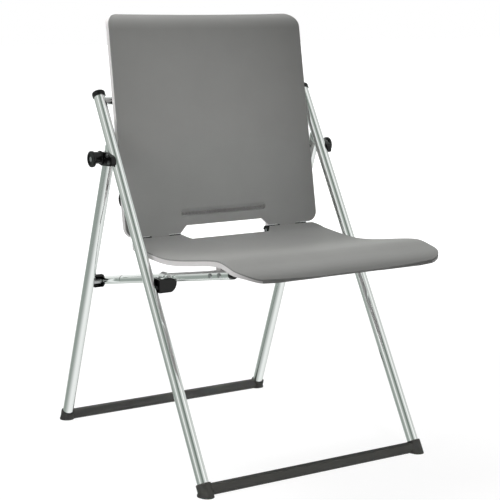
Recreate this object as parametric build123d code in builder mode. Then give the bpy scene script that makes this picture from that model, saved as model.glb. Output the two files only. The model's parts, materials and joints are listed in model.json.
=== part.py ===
from build123d import *
from math import asin, atan, atan2, cos, degrees, hypot, radians, sin, tan
import os

# Folding nesting chair. X runs across the chair, the sitter looks along -Y, +Z is up and the
# feet stand on Z = 0. Side-view places are given as (y, z) from the middle of the stance.

# ---------------------------------------------------------------- driving dimensions, mm
# Leg frames
tube_d = 22.0                # bright steel leg tube
tube_wall = 1.5
leg_half = 240.0             # middle of the chair to the leg tubes
foot_half = 287.5            # middle of the stance to each foot bar
foot_axis_z = 11.6           # height at which the legs enter the foot bars
front_lean = 30.0            # front legs, from vertical
front_length = 788.0         # front leg, foot bar to top end
cross_tube_d = 15.0          # rail between the front legs behind the backrest
cross_tube_wall = 1.2
cross_below = 8.5            # its place below the leg's top end
cross_behind = 3.2           # and behind the leg's axis
cap_over = 2.0               # leg cap's head, wider than the leg all round
cap_h = 11.0
cap_round = 5.0
cap_plug = 16.0
fit = 0.1                    # easy fit of moulded parts on tubes
running = 0.05               # radial clearance of pivots

# Foot bars
bar_height = 19.5
bar_width = 21.0
bar_flat = 10.0              # width that stands on the floor
bar_crease = 9.0             # height of the widest line
bar_crown = 12.0             # width of the flat top before rounding
bar_top_r = 4.0
bar_crown_over = 3.0         # sharp flat top, wider than the rounded one
bar_crease_r = 2.0
socket_r = 14.0              # collar that takes the leg's end
front_rim = 10.0             # collar's rim, along the front leg
rear_rim = 7.0
socket_floor = -2.0          # bottom of the leg's bore, along the leg
foot_flange_r = 15.5         # pad under each collar
foot_flange_h = 3.0
foot_flange_shift = 3.0
core_d = 10.0                # steel core in each foot bar
core_inset = 21.0            # its ends, in from the leg axes
screw_head_t = 1.8           # flat screw and rivet heads
small_head = 5.2

# Leg pivots
pivot_below = 120.0          # place of the rear legs' pivot below the front leg's top end
pivot_behind = 26.0          # and behind its axis
pivot_bolt_d = 8.0
bush_d = 12.0
cheek_gap = 0.4              # leg's side to the pivot plate
cheek_t = 5.6
cheek_r = 13.5
cheek_grip = 7.5             # plate's inner edge on the front leg, out from the leg's axis
cheek_shoulder = 23.0        # where its top starts to fall, forward of the pivot
cheek_nose = 44.5            # its nose, forward of the pivot
cheek_nose_top = 4.5         # and the nose's ends, above and below the pivot
cheek_nose_low = 11.5
cheek_nose_r = 5.0
cheek_lap = 9.5              # plate laps this far behind the front leg's axis
cheek_rivets = (6.0, 21.0)   # below the pivot, along the front leg
cheek_pocket = 0.8           # ring-shaped pocket round the knob's foot
cheek_pocket_edge = 2.5      # in from the plate's edge
cheek_rivet_d = 4.0
cheek_rivet_head = 7.5
knob_flange_r = 13.4
knob_flange_t = 4.0
knob_neck_r = 11.6
knob_neck = 13.0
knob_raise = 2.2             # flange and neck stand higher than the outer disc
knob_r = 15.8
knob_t = 5.8
knob_edge_r = 1.2
knob_rim_w = 4.5             # rim round the dished face
knob_dish = 1.6
bolt_head_r = 4.8
bolt_head_t = 1.2
stop_gap = 0.4               # front leg to the rear leg's stop pad
stop_pad_t = 1.0
stop_plug = 4.0

# Seat frame
lock_drop = 96.5             # pins that carry the seat's rear end, below the hinge
lock_pin_d = 12.0
rail_d = 17.0
rail_wall = 1.5
rail_in = 32.0               # leg axis in to the rail's axis
rail_reach = 360.5           # hinge to the rail's front end
rail_under = 17.6            # seat's top down to the rail's front end
rail_over = 18.6             # rail's axis over the seat's pivot
paddle_t = 5.0               # flattened rear end of the rail
paddle_h = 20.0
paddle_end = 24.0            # where the flat ends and where the tube is round again
paddle_round = 50.0
hook_r = 13.5
hook_web = 2.5
hook_play = 0.15
hook_side_gap = 0.6
hook_edge_r = 1.2
hook_screw_end = 4.0         # wall left beyond the hook's screw
hook_mouth = 17.0            # width of the mouth at the hook's rim
hook_exit = 232.8            # direction in which the pin leaves the hook
stud_d = 10.0
stud_reach = 36.0            # stud's inner end, in from the leg's axis
pin_chamfer = 0.8
saddle_inner = 16.0          # pivot saddle's inner end, in from the rail
saddle_curve = 5.0           # where its flat underside starts to curve up
saddle_lip = 4.0
saddle_drop = 7.8            # below the pivot
saddle_width = 26.0
strap_t = 1.5
strap_width = 20.0
strap_foot = 5.5
strap_screw_len = 7.5        # in the saddle
seat_tube_d = 16.0
seat_tube_back = 97.0        # cross tube, back from the rail's front end
rail_screw_back = (60.0, 29.0)   # seat's screws, back from the rail's front end
rail_screw_d = 4.0
rail_screw_head = 8.5
rail_screw_sink = 0.7        # flat under each head
rail_plug_len = 12.0

# Seat shell
seat_gap = 7.0               # front legs to the seat's sides
panel_t = 2.4                # coloured top and front panels
shell_t = 3.0                # pale carrier shells under them
rim_w = 3.2
seat_rim = 11.2              # depth of the seat's edge, panel and rim together
seat_nose_rim = 6.0
seat_corner_front = 42.0
seat_corner_rear = 20.0
seat_front_bow = 8.0
rib_t = 2.4
rib_drop = 9.5
lug_w = 9.0
lug_len = 16.0
# Seat's side view from rear edge to nose: places from the hinge, and slope going forward
rear_edge_at = (-2.9, 7.7, -30.0)
waist_at = (-16.5, 1.8, -17.0)
lap_at = (-53.5, -3.2, -5.0)
dip_at = (-133.5, -8.2, 0.0)
thigh_at = (-248.5, 4.0, 8.5)
crest_at = (-333.5, 15.2, 3.0)
shoulder_at = (-373.5, 9.5, -16.0)
nose_at = (-429.5, -11.5, -30.0)

# Hand hole between seat and backrest
grip_top_in = 6.0            # its upper corners, in from the hinges' inner ends
grip_low_out = 9.0           # and its lower corners, out from them
grip_seat = 20.5             # hinge to its edge on the seat
grip_back = 20.0             # its height on the backrest

# Hinges between seat and backrest
hinge_back = 76.5            # hinge, forward of the cross tube
hinge_drop = 271.6           # and below it
hinge_pin_d = 6.0
knuckle_r = 6.2
knuckle_clear = 0.4
crown_front = 1.6            # seat knuckles' raised backs start this far before the hinge
hinge_in = 29.0              # hinge's outer end, in from the backrest's side
hinge_w = 100.0
tab_inner_at = 35.0          # backrest's knuckle, from the hinge's inner end
tab_outer_at = 74.6
knuckle_gap = 0.4
hinge_boss = 9.6             # closed end of each hinge's barrel, on the chair's right
leaf_t = 3.2
leaf_len = 46.0
leaf_screw_d = 4.0
leaf_screw_head = 8.0
leaf_screw_stand = 1.2       # heads stand on the sloping leaf
leaf_gap = 0.3               # fitted parts stand off the shells by this
leaf_drop = 1.2              # seat's leaf, further off where the shell curves up

# Backrest
back_gap = 4.4               # front legs to the backrest's lower corners
back_taper = 2.9             # its sides close in by this towards the top
base_behind = 0.3            # front face at its foot, behind the hinge
base_up = 4.5                # and above it
back_rise = 439.0            # hinge to the top edge
rest_depth = 32.5            # cross tube's axis behind the front face when open
roll_r = 38.0                # rearward roll of the top edge
roll_angle = 60.0
back_rim = 12.5              # depth of its edge, panel and rim together
back_dip = 3.5               # hollow of the top edge in the middle
back_low = 5.3               # lower edge, along the backrest
tab_low = 2.6
back_corner_low = 21.0
back_corner_top = 28.0
groove_over = 4.0            # groove's ends, out from the hinges' inner ends
groove_h = 15.0
groove_up = 46.0
groove_depth = 1.7
back_rib_drop = 10.0
back_rib_ends = (50.0, 215.0)
back_cross_ribs = (60.0, 200.0)

# Guides that slide on the cross tube
guide_in = 17.0              # guide, in from the backrest's side
guide_w = 18.0
guide_play = 0.4
guide_wall = 4.5
guide_flange = 14.0
guide_screw_d = 4.0
buffer_up = 81.0             # rubber pads on the rim's rear edge
buffer_h = 28.0
buffer_t = 10.0              # they bulge this far behind the rim
buffer_w = 7.5
buffer_tongue = 22.0         # height of the tongue inside the rim
buffer_inset = 0.4           # rim's side to the pad
buffer_play = 0.2            # rim to the pad's tongue

# Folding
fold_angle = 50.0            # seat, from open to folded
back_ratio = 0.52            # backrest's turn against the legs, for each degree of the seat

# ---------------------------------------------------------------- derived frames
SIDES = {"left": 1, "right": -1}   # the sitter's left is +X

tube_r = tube_d / 2
back_skin = panel_t + shell_t + leaf_gap   # face of the parts screwed to the backrest

# Across the chair
seat_half = leg_half - tube_r - seat_gap
back_half = leg_half - tube_r - back_gap
rail_half = leg_half - rail_in
core_half = leg_half - core_inset
guide_outer = back_half - guide_in
guide_inner = guide_outer - guide_w
hinge_outer = back_half - hinge_in
hinge_inner = hinge_outer - hinge_w
tab_inner = hinge_inner + tab_inner_at
tab_outer = hinge_inner + tab_outer_at
tab_mid = (tab_inner + tab_outer) / 2
grip_top_half = hinge_inner - grip_top_in
grip_low_half = hinge_inner + grip_low_out
groove_half = hinge_inner + groove_over
rib_x = (-tab_mid, -hinge_inner / 2, hinge_inner / 2, tab_mid)


def front_point(along, behind=0.0):
    """Side-view point along the front leg, and behind its axis."""
    a = radians(front_lean)
    return (
        -foot_half + along * sin(a) + behind * cos(a),
        foot_axis_z + along * cos(a) - behind * sin(a),
    )


# The cross tube and the legs' pivot hang from the front leg's top end
pivot_along = front_length - pivot_below
pivot = front_point(pivot_along, pivot_behind)
cross_along = front_length - cross_below
cross_point = front_point(cross_along, cross_behind)
plate_rivet_along = [pivot_along - below for below in cheek_rivets]
rear_lean = degrees(atan2(foot_half - pivot[0], pivot[1] - foot_axis_z))

# The hinge hangs from the cross tube, and the seat's side view from the hinge
hinge_y = cross_point[0] - hinge_back
hinge_z = cross_point[1] - hinge_drop
hinge_point = (hinge_y, hinge_z)
stations_at = (rear_edge_at, waist_at, lap_at, dip_at, thigh_at, crest_at, shoulder_at, nose_at)
seat_stations = [(hinge_y + y, hinge_z + z) for y, z, slope in stations_at]
seat_slopes = [slope for y, z, slope in stations_at]
hinge_edge, waist, lap = seat_stations[:3]
nose = seat_stations[-1]
grip_seat_y = hinge_y - grip_seat


def seat_height(y):
    """Height of the seat's top between its stations."""
    for (y1, z1), (y2, z2) in zip(seat_stations, seat_stations[1:]):
        if y2 <= y <= y1:
            return z1 + (z2 - z1) * (y - y1) / (y2 - y1)
    return nose[1]


# The rails run from the lock pins up to the seat's front, over the seat's pivot
lock_z = hinge_z - lock_drop
lock_point = (foot_half - (lock_z - foot_axis_z) * tan(radians(rear_lean)), lock_z)
rail_front_y = hinge_y - rail_reach
rail_slope = (seat_height(rail_front_y) - rail_under - lock_z) / (lock_point[0] - rail_front_y)
rail_rise = degrees(atan(rail_slope))
seat_tube_y = rail_front_y + seat_tube_back
rail_screw_y = [rail_front_y + back for back in rail_screw_back]


def rail_height(y):
    """Height of the rail's axis over a place in the side view."""
    return lock_point[1] + (lock_point[0] - y) * rail_slope


# Where the front leg passes rail_over below the rail
seat_pivot_along = (rail_height(-foot_half) - rail_over - foot_axis_z) / (
    cos(radians(front_lean)) + rail_slope * sin(radians(front_lean))
)
seat_pivot = front_point(seat_pivot_along)

# The backrest leans so that the cross tube lies rest_depth behind its front face
back_base = (hinge_y + base_behind, hinge_z + base_up)
base_to_tube = (cross_point[0] - back_base[0], cross_point[1] - back_base[1])
recline = degrees(atan2(*base_to_tube) - asin(rest_depth / hypot(*base_to_tube)))
back_top_z = hinge_z + back_rise

# The chair reaches from the seat's nose to the rear collars, and its depth is centred on Y = 0
rear_reach = foot_half + foot_axis_z * tan(radians(rear_lean)) + socket_r / cos(radians(rear_lean))
mid_y = (-nose[0] - rear_reach) / 2

front_axis = Plane(
    origin=(0, mid_y - foot_half, foot_axis_z),
    x_dir=(1, 0, 0),
    z_dir=(0, sin(radians(front_lean)), cos(radians(front_lean))),
)
rear_axis = Plane(
    origin=(0, mid_y + foot_half, foot_axis_z),
    x_dir=(1, 0, 0),
    z_dir=(0, -sin(radians(rear_lean)), cos(radians(rear_lean))),
)
rail_axis = Plane(
    origin=(0, mid_y + lock_point[0], lock_point[1]),
    x_dir=(1, 0, 0),
    z_dir=(0, -cos(radians(rail_rise)), sin(radians(rail_rise))),
)
# On the backrest's own side view, x is the depth behind its front face and y runs up it.
back_side = Plane(
    origin=(0, mid_y + back_base[0], back_base[1]),
    x_dir=(0, cos(radians(recline)), -sin(radians(recline))),
    z_dir=(1, 0, 0),
)
back_face = Plane(
    origin=(0, mid_y + back_base[0], back_base[1]),
    x_dir=(1, 0, 0),
    z_dir=(0, -cos(radians(recline)), sin(radians(recline))),
)


def side_plane(x=0.0):
    """Side view at x, in (y, z) from the middle of the stance."""
    return Plane(origin=(x, mid_y, 0), x_dir=(0, 1, 0), z_dir=(1, 0, 0))


def slab_start(side, inner, outer):
    """X of the lower face of a slab that runs from inner to outer on one side."""
    return inner if side > 0 else -outer


def disc(side, centre, radius, inner, outer, mode=Mode.ADD):
    """Round piece across the chair, from inner to outer on one side."""
    with BuildSketch(side_plane(slab_start(side, inner, outer))) as face:
        with Locations(centre):
            Circle(radius)
    extrude(face.sketch, amount=outer - inner, mode=mode)


def save(name, builder):
    """Label a finished piece and write it."""
    builder.part.label = name
    export_step(builder.part, f"parts/{name}.step")


os.makedirs("parts", exist_ok=True)


# ---------------------------------------------------------------- front legs
def make_front_tube(side):
    with BuildPart() as tube:
        with BuildSketch(front_axis.offset(socket_floor)):
            with Locations((side * leg_half, 0)):
                Circle(tube_r)
                Circle(tube_r - tube_wall, mode=Mode.SUBTRACT)
        extrude(amount=front_length - socket_floor)
        # hole for the seat's pivot stud, through the inner wall
        disc(side, seat_pivot, stud_d / 2, leg_half - tube_d, leg_half, Mode.SUBTRACT)
        # holes for the pivot plate's rivets, through the outer wall
        for along in plate_rivet_along:
            disc(side, front_point(along), cheek_rivet_d / 2, leg_half, leg_half + tube_d, Mode.SUBTRACT)
    return tube


def make_front_cap(side):
    """Plug with a domed head for the front leg's top end."""
    with BuildPart() as cap:
        with BuildSketch(front_axis.offset(front_length)):
            with Locations((side * leg_half, 0)):
                Circle(tube_r + cap_over)
        extrude(amount=cap_h)
        top = cap.faces().sort_by(Axis((0, 0, 0), front_axis.z_dir))[-1]
        fillet(top.edges(), cap_round)
        with BuildSketch(front_axis.offset(front_length)):
            with Locations((side * leg_half, 0)):
                Circle(tube_r - tube_wall - fit)
        extrude(amount=-cap_plug)
    return cap


def make_cross_tube():
    """Tube between the front legs, coped where it meets them."""
    with BuildPart() as tube:
        with BuildSketch(side_plane(-leg_half)):
            with Locations(cross_point):
                Circle(cross_tube_d / 2)
                Circle(cross_tube_d / 2 - cross_tube_wall, mode=Mode.SUBTRACT)
        extrude(amount=2 * leg_half)
        with BuildSketch(front_axis.offset(cross_along - tube_d)):
            with Locations((leg_half, 0), (-leg_half, 0)):
                Circle(tube_r)
        extrude(amount=2 * tube_d, mode=Mode.SUBTRACT)
    return tube


def make_pivot_plate(side):
    """Moulded plate that wraps the front leg's outer side and carries the rear leg's pivot."""
    inner = leg_half + tube_r + cheek_gap
    outer = inner + cheek_t
    grip = leg_half + cheek_grip
    y, z = pivot
    with BuildPart() as plate:
        with BuildSketch(side_plane(slab_start(side, grip, outer))) as body:
            with BuildLine():
                Polyline(
                    (y, z + cheek_r),
                    (y - cheek_shoulder, z + cheek_r),
                    (y - cheek_nose, z + cheek_nose_top),
                    (y - cheek_nose, z - cheek_nose_low),
                    (y, z - cheek_r),
                    close=True,
                )
            make_face()
            nose = body.vertices().group_by(Axis.X)[0]
            fillet(nose, cheek_nose_r)
            with Locations(pivot):
                Circle(cheek_r)
        extrude(amount=outer - grip)
        # behind the front leg only the plate itself is left, clear of the rear leg
        with BuildSketch(side_plane(slab_start(side, grip, inner))):
            with BuildLine():
                Polyline(
                    front_point(pivot_along - 3 * cheek_r, cheek_lap),
                    front_point(pivot_along + 3 * cheek_r, cheek_lap),
                    front_point(pivot_along + 3 * cheek_r, cheek_nose + 2 * cheek_r),
                    front_point(pivot_along - 3 * cheek_r, cheek_nose + 2 * cheek_r),
                    close=True,
                )
            make_face()
        extrude(amount=inner - grip, mode=Mode.SUBTRACT)
        with BuildSketch(front_axis.offset(pivot_along - 4 * tube_d)):
            with Locations((side * leg_half, 0)):
                Circle(tube_r + running)
        extrude(amount=8 * tube_d, mode=Mode.SUBTRACT)
        for along in plate_rivet_along:
            disc(side, front_point(along), cheek_rivet_d / 2 + running, leg_half, outer + 1, Mode.SUBTRACT)
        # shallow pocket round the knob's foot
        disc(side, pivot, cheek_r - cheek_pocket_edge, outer - cheek_pocket, outer, Mode.SUBTRACT)
        disc(side, pivot, knob_neck_r - cheek_pocket_edge, outer - cheek_pocket, outer)
        disc(side, pivot, pivot_bolt_d / 2 + running, inner - 1, outer + 1, Mode.SUBTRACT)
    return plate


def make_plate_rivets():
    """Rivets that hold the pivot plates to the front legs, two on each side."""
    inner = leg_half + tube_r - 2 * tube_wall
    outer = leg_half + tube_r + cheek_gap + cheek_t
    with BuildPart() as rivets:
        for side in SIDES.values():
            for along in plate_rivet_along:
                disc(side, front_point(along), cheek_rivet_d / 2, inner, outer)
                disc(side, front_point(along), cheek_rivet_head / 2, outer, outer + screw_head_t)
    return rivets


knob_start = leg_half + tube_r + cheek_gap + cheek_t
knob_face = knob_start + knob_flange_t + knob_neck + knob_t
dish_floor = knob_face - knob_dish


def make_pivot_bolt(side):
    """Bolt through the plate, the rear leg and the knob, with a low head in the knob's dish."""
    with BuildPart() as bolt:
        disc(side, pivot, pivot_bolt_d / 2, leg_half - tube_r + 1.0, dish_floor)
        disc(side, pivot, bolt_head_r, dish_floor, dish_floor + bolt_head_t)
    return bolt


def make_knob(side):
    """Spool-shaped knob outside the pivot: raised flange and neck, and a dished outer disc."""
    neck = knob_start + knob_flange_t
    head = neck + knob_neck
    raised = (pivot[0], pivot[1] + knob_raise)
    with BuildPart() as knob:
        disc(side, raised, knob_flange_r, knob_start, neck)
        disc(side, raised, knob_neck_r, neck, head)
        disc(side, pivot, knob_r, head, knob_face)
        rims = knob.edges().filter_by(GeomType.CIRCLE)
        wide = rims.filter_by(lambda e: e.radius > knob_flange_r - 0.1)
        fillet(wide, knob_edge_r)
        disc(side, pivot, knob_r - knob_rim_w, dish_floor, knob_face, Mode.SUBTRACT)
        disc(side, pivot, pivot_bolt_d / 2 + running, knob_start, knob_face, Mode.SUBTRACT)
    return knob


def make_seat_stud(side):
    """Welded stud on the front leg's inner side, on which the seat turns."""
    with BuildPart() as stud:
        disc(side, seat_pivot, stud_d / 2, leg_half - stud_reach, leg_half - tube_r + 2 * tube_wall)
        end = stud.faces().filter_by(Axis.X).sort_by(Axis.X)[0 if side > 0 else -1]
        chamfer(end.edges(), pin_chamfer)
    return stud


# ---------------------------------------------------------------- foot bars
def make_foot_bar(axis, lean_sign, rim):
    """Moulded bar with a collar at each end that takes a leg."""
    foot_y = lean_sign * foot_half
    bar_sharp = bar_crown + bar_crown_over
    with BuildPart() as bar:
        with BuildSketch(side_plane()) as profile:
            with BuildLine():
                Polyline(
                    (foot_y - bar_flat / 2, 0),
                    (foot_y + bar_flat / 2, 0),
                    (foot_y + bar_width / 2, bar_crease),
                    (foot_y + bar_sharp / 2, bar_height),
                    (foot_y - bar_sharp / 2, bar_height),
                    (foot_y - bar_width / 2, bar_crease),
                    close=True,
                )
            make_face()
            crown = profile.vertices().group_by(Axis.Y)[-1]
            fillet(crown, bar_top_r)
            crease = profile.vertices().filter_by(lambda v: abs(v.Y - bar_crease) < 0.01)
            fillet(crease, bar_crease_r)
        extrude(amount=leg_half, both=True)
        # collars round the legs, sunk to the floor
        with BuildSketch(axis.offset(-2 * socket_r)):
            with Locations((leg_half, 0), (-leg_half, 0)):
                Circle(socket_r)
        extrude(amount=2 * socket_r + rim)
        with BuildSketch(Plane.XY):
            with Locations(
                (leg_half, mid_y + foot_y + lean_sign * foot_flange_shift),
                (-leg_half, mid_y + foot_y + lean_sign * foot_flange_shift),
            ):
                Circle(foot_flange_r)
        extrude(amount=foot_flange_h)
        split(bisect_by=Plane.XY, keep=Keep.TOP)
        # bores for the legs and for the steel core
        with BuildSketch(axis.offset(socket_floor)):
            with Locations((leg_half, 0), (-leg_half, 0)):
                Circle(tube_r + running)
        extrude(amount=rim - socket_floor + bar_height, mode=Mode.SUBTRACT)
        with BuildSketch(side_plane(-core_half)):
            with Locations((foot_y, bar_height / 2)):
                Circle(core_d / 2 + running)
        extrude(amount=2 * core_half, mode=Mode.SUBTRACT)
    return bar


def make_bar_core(lean_sign):
    """Steel rod that stiffens a foot bar."""
    with BuildPart() as core:
        with BuildSketch(side_plane(-core_half + fit)):
            with Locations((lean_sign * foot_half, bar_height / 2)):
                Circle(core_d / 2)
        extrude(amount=2 * (core_half - fit))
    return core


# ---------------------------------------------------------------- rear legs
stop_outer = tube_r + stop_gap                  # stop pad's face, behind the front leg's axis
stop_inner = stop_outer + stop_pad_t            # mitred end of the rear leg


def behind_front(distance):
    """Plane parallel to the front leg, facing rearwards, at a distance behind its axis."""
    a = radians(front_lean)
    place = front_point(pivot_along, distance)
    return Plane(
        origin=(0, mid_y + place[0], place[1]),
        x_dir=(1, 0, 0),
        z_dir=(0, cos(a), -sin(a)),
    )


rear_to_pivot = (pivot[1] - foot_axis_z) / cos(radians(rear_lean))
rear_over = 3 * tube_d                          # enough to cut the mitre from


def make_rear_tube(side):
    with BuildPart() as tube:
        with BuildSketch(rear_axis.offset(socket_floor)):
            with Locations((side * leg_half, 0)):
                Circle(tube_r)
                Circle(tube_r - tube_wall, mode=Mode.SUBTRACT)
        extrude(amount=rear_to_pivot + rear_over - socket_floor)
        split(bisect_by=behind_front(stop_inner), keep=Keep.TOP)
        disc(side, pivot, bush_d / 2, leg_half - tube_d, leg_half + tube_d, Mode.SUBTRACT)
        disc(side, lock_point, lock_pin_d / 2, leg_half - tube_d, leg_half, Mode.SUBTRACT)
    return tube


def make_stop_pad(side):
    """Moulded cap on the rear leg's mitred end, which stops against the front leg."""
    with BuildPart() as plug:
        with BuildSketch(rear_axis.offset(rear_to_pivot - tube_d)):
            with Locations((side * leg_half, 0)):
                Circle(tube_r - tube_wall - fit)
        extrude(amount=rear_over + tube_d)
        split(bisect_by=behind_front(stop_inner), keep=Keep.TOP)
        split(bisect_by=behind_front(stop_inner + stop_plug), keep=Keep.BOTTOM)
    with BuildPart() as pad:
        with BuildSketch(rear_axis.offset(rear_to_pivot - tube_d)):
            with Locations((side * leg_half, 0)):
                Circle(tube_r)
        extrude(amount=rear_over + tube_d)
        split(bisect_by=behind_front(stop_outer), keep=Keep.TOP)
        split(bisect_by=behind_front(stop_inner), keep=Keep.BOTTOM)
        add(plug.part)
    return pad


def make_pivot_bush(side):
    """Bush in the rear leg, round the pivot bolt."""
    with BuildPart() as bush:
        disc(side, pivot, bush_d / 2, leg_half - tube_r + 0.3, leg_half + tube_r - 0.1)
        disc(side, pivot, pivot_bolt_d / 2 + running, leg_half - tube_d, leg_half + tube_d, Mode.SUBTRACT)
    return bush


hook_inner = rail_half + paddle_t / 2           # hook's face on the rail's flat end
hook_outer = leg_half - tube_r - hook_side_gap


def make_lock_pin(side):
    """Pin on the rear leg's inner side that the seat's hook rests on."""
    with BuildPart() as pin:
        disc(side, lock_point, lock_pin_d / 2, hook_inner + hook_web + 0.4, leg_half - tube_r + 2 * tube_wall)
        end = pin.faces().filter_by(Axis.X).sort_by(Axis.X)[0 if side > 0 else -1]
        chamfer(end.edges(), pin_chamfer)
    return pin


# ---------------------------------------------------------------- seat frame
rail_length = (lock_point[0] - rail_front_y) / cos(radians(rail_rise))


def make_seat_rail(side):
    """Side tube of the seat, drawn flat at its rear end."""
    x = side * rail_half
    with BuildPart() as rail:
        with BuildSketch(rail_axis.offset(paddle_round)):
            with Locations((x, 0)):
                Circle(rail_d / 2)
        extrude(amount=rail_length - paddle_round)
        with BuildSketch(rail_axis.offset(paddle_end)):
            with Locations((x, 0)):
                RectangleRounded(paddle_t, paddle_h, paddle_t / 2 - 0.1)
        with BuildSketch(rail_axis.offset(paddle_round)):
            with Locations((x, 0)):
                Circle(rail_d / 2)
        loft()
        with BuildSketch(rail_axis.offset(paddle_round)):
            with Locations((x, 0)):
                Circle(rail_d / 2 - rail_wall)
        extrude(amount=rail_length - paddle_round, mode=Mode.SUBTRACT)
        # flat end with a round tip at the hook
        with BuildSketch(rail_axis):
            with Locations((x, 0)):
                RectangleRounded(paddle_t, paddle_h, paddle_t / 2 - 0.1)
        extrude(amount=paddle_end)
        disc(side, lock_point, paddle_h / 2, rail_half - paddle_t / 2, rail_half + paddle_t / 2)
        bore = rail_screw_d / 2 + running
        disc(side, hook_screw_point, bore, rail_half - rail_d, rail_half + paddle_t, Mode.SUBTRACT)
        flat = rail_half + rail_d / 2 - rail_screw_sink
        for y in rail_screw_y:
            place = (y, rail_height(y))
            disc(side, place, bore, rail_half - rail_d, rail_half + rail_d, Mode.SUBTRACT)
            disc(side, place, rail_screw_head / 2 + running, flat, rail_half + rail_d, Mode.SUBTRACT)
    return rail


hook_back = radians(hook_exit - 180)
hook_screw_r = (hook_r + lock_pin_d / 2) / 2 + 0.3
hook_screw_point = (
    lock_point[0] + hook_screw_r * cos(hook_back),
    lock_point[1] + hook_screw_r * sin(hook_back),
)


def make_rail_hook(side):
    """Moulded hook at the rail's end; its mouth lets the pin out as the seat lifts."""
    seat_r = lock_pin_d / 2 + hook_play
    start = side_plane(slab_start(side, hook_inner + hook_web, hook_outer))
    centre = start.from_local_coords(Vector(*lock_point, 0))
    with BuildPart() as hook:
        disc(side, lock_point, hook_r, hook_inner, hook_outer)
        outer_rim = hook.faces().filter_by(Axis.X).sort_by(Axis.X)[-1 if side > 0 else 0]
        fillet(outer_rim.edges(), hook_edge_r)
        disc(side, lock_point, seat_r, hook_inner + hook_web, hook_outer, Mode.SUBTRACT)
        # open where the pin leaves and where the rail comes in
        for angle in (radians(hook_exit), radians(180 - rail_rise)):
            with BuildSketch(Plane(origin=centre, x_dir=(0, cos(angle), sin(angle)), z_dir=(1, 0, 0))):
                with BuildLine():
                    Polyline(
                        (0, -seat_r),
                        (hook_r + 2, -hook_mouth / 2),
                        (hook_r + 2, hook_mouth / 2),
                        (0, seat_r),
                        close=True,
                    )
                make_face()
            extrude(amount=hook_outer - hook_inner - hook_web, mode=Mode.SUBTRACT)
        screw_r = rail_screw_d / 2 + running
        disc(side, hook_screw_point, screw_r, hook_inner, hook_outer - hook_screw_end, Mode.SUBTRACT)
    return hook


def make_hook_screws():
    """Screws from the rails' flat ends into the hooks."""
    inner = rail_half - paddle_t / 2
    with BuildPart() as screws:
        for side in SIDES.values():
            disc(side, hook_screw_point, rail_screw_d / 2, inner, hook_outer - hook_screw_end - 0.5)
            disc(side, hook_screw_point, small_head / 2, inner - screw_head_t, inner)
    return screws


def make_rail_plug(side):
    """Domed plug in the rail's front end."""
    x = side * rail_half
    with BuildPart() as plug:
        with BuildSketch(rail_axis.offset(rail_length)):
            with Locations((x, 0)):
                Circle(rail_d / 2)
        extrude(amount=rail_plug_len)
        tip = plug.faces().sort_by(Axis((0, 0, 0), rail_axis.z_dir))[-1]
        fillet(tip.edges(), rail_d / 2 - 1.5)
        with BuildSketch(rail_axis.offset(rail_length)):
            with Locations((x, 0)):
                Circle(rail_d / 2 - rail_wall - fit)
        extrude(amount=-rail_plug_len)
    return plug


saddle_top = rail_height(seat_pivot[0]) - 0.5
saddle_plane = Plane(
    origin=(0, mid_y + seat_pivot[0], 0),
    x_dir=(1, 0, 0),
    z_dir=(0, -1, 0),
)


def make_pivot_saddle(side):
    """Moulded block under the rail, with the pivot bore and a quarter-round inner end."""
    low = seat_pivot[1] - saddle_drop
    outer = leg_half - tube_r - hook_side_gap
    inner = rail_half - saddle_inner
    curve = rail_half - saddle_curve
    lip = saddle_top - saddle_lip
    turn = (curve - (curve - inner) * sin(radians(45)), lip - (lip - low) * sin(radians(45)))
    with BuildPart() as saddle:
        with BuildSketch(saddle_plane):
            with BuildLine():
                Polyline(
                    (side * inner, lip),
                    (side * inner, saddle_top),
                    (side * outer, saddle_top),
                    (side * outer, low),
                    (side * curve, low),
                )
                ThreePointArc((side * curve, low), (side * turn[0], turn[1]), (side * inner, lip))
            make_face()
        extrude(amount=saddle_width / 2, both=True)
        with BuildSketch(rail_axis):
            with Locations((side * rail_half, 0)):
                Circle(rail_d / 2 + running)
        extrude(amount=rail_length, mode=Mode.SUBTRACT)
        disc(side, seat_pivot, stud_d / 2 + running, leg_half - stud_reach - 1.0, outer, Mode.SUBTRACT)
        for x in strap_screw_x:
            with BuildSketch(Plane.XY.offset(saddle_top - strap_screw_len - 0.5)):
                with Locations((side * x, mid_y + seat_pivot[0])):
                    Circle(rail_screw_d / 2 + running)
            extrude(amount=strap_screw_len + 0.5, mode=Mode.SUBTRACT)
    return saddle


strap_r = rail_d / 2 + running
strap_screw_out = strap_r + strap_t + strap_foot / 2
strap_screw_x = (rail_half - strap_screw_out, rail_half + strap_screw_out)


def make_rail_strap(side):
    """Bright strap that clamps the rail into the saddle."""
    axis_z = rail_height(seat_pivot[0])
    foot_outer = strap_r + strap_t + strap_foot
    with BuildPart() as strap:
        with BuildSketch(saddle_plane):
            with Locations((side * rail_half, axis_z)):
                Circle(strap_r + strap_t)
                Rectangle(2 * foot_outer, strap_t, align=(Align.CENTER, Align.MIN))
                Circle(strap_r + 0.1, mode=Mode.SUBTRACT)
                Rectangle(2 * foot_outer, 2 * foot_outer, align=(Align.CENTER, Align.MAX), mode=Mode.SUBTRACT)
        extrude(amount=strap_width / 2, both=True)
        with BuildSketch(rail_axis):
            with Locations((side * rail_half, 0)):
                Circle(strap_r)
        extrude(amount=rail_length, mode=Mode.SUBTRACT)
        with BuildSketch(Plane.XY.offset(axis_z - 1)):
            for x in strap_screw_x:
                with Locations((side * x, mid_y + seat_pivot[0])):
                    Circle(rail_screw_d / 2 + running)
        extrude(amount=strap_t + 2, mode=Mode.SUBTRACT)
    return strap


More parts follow.
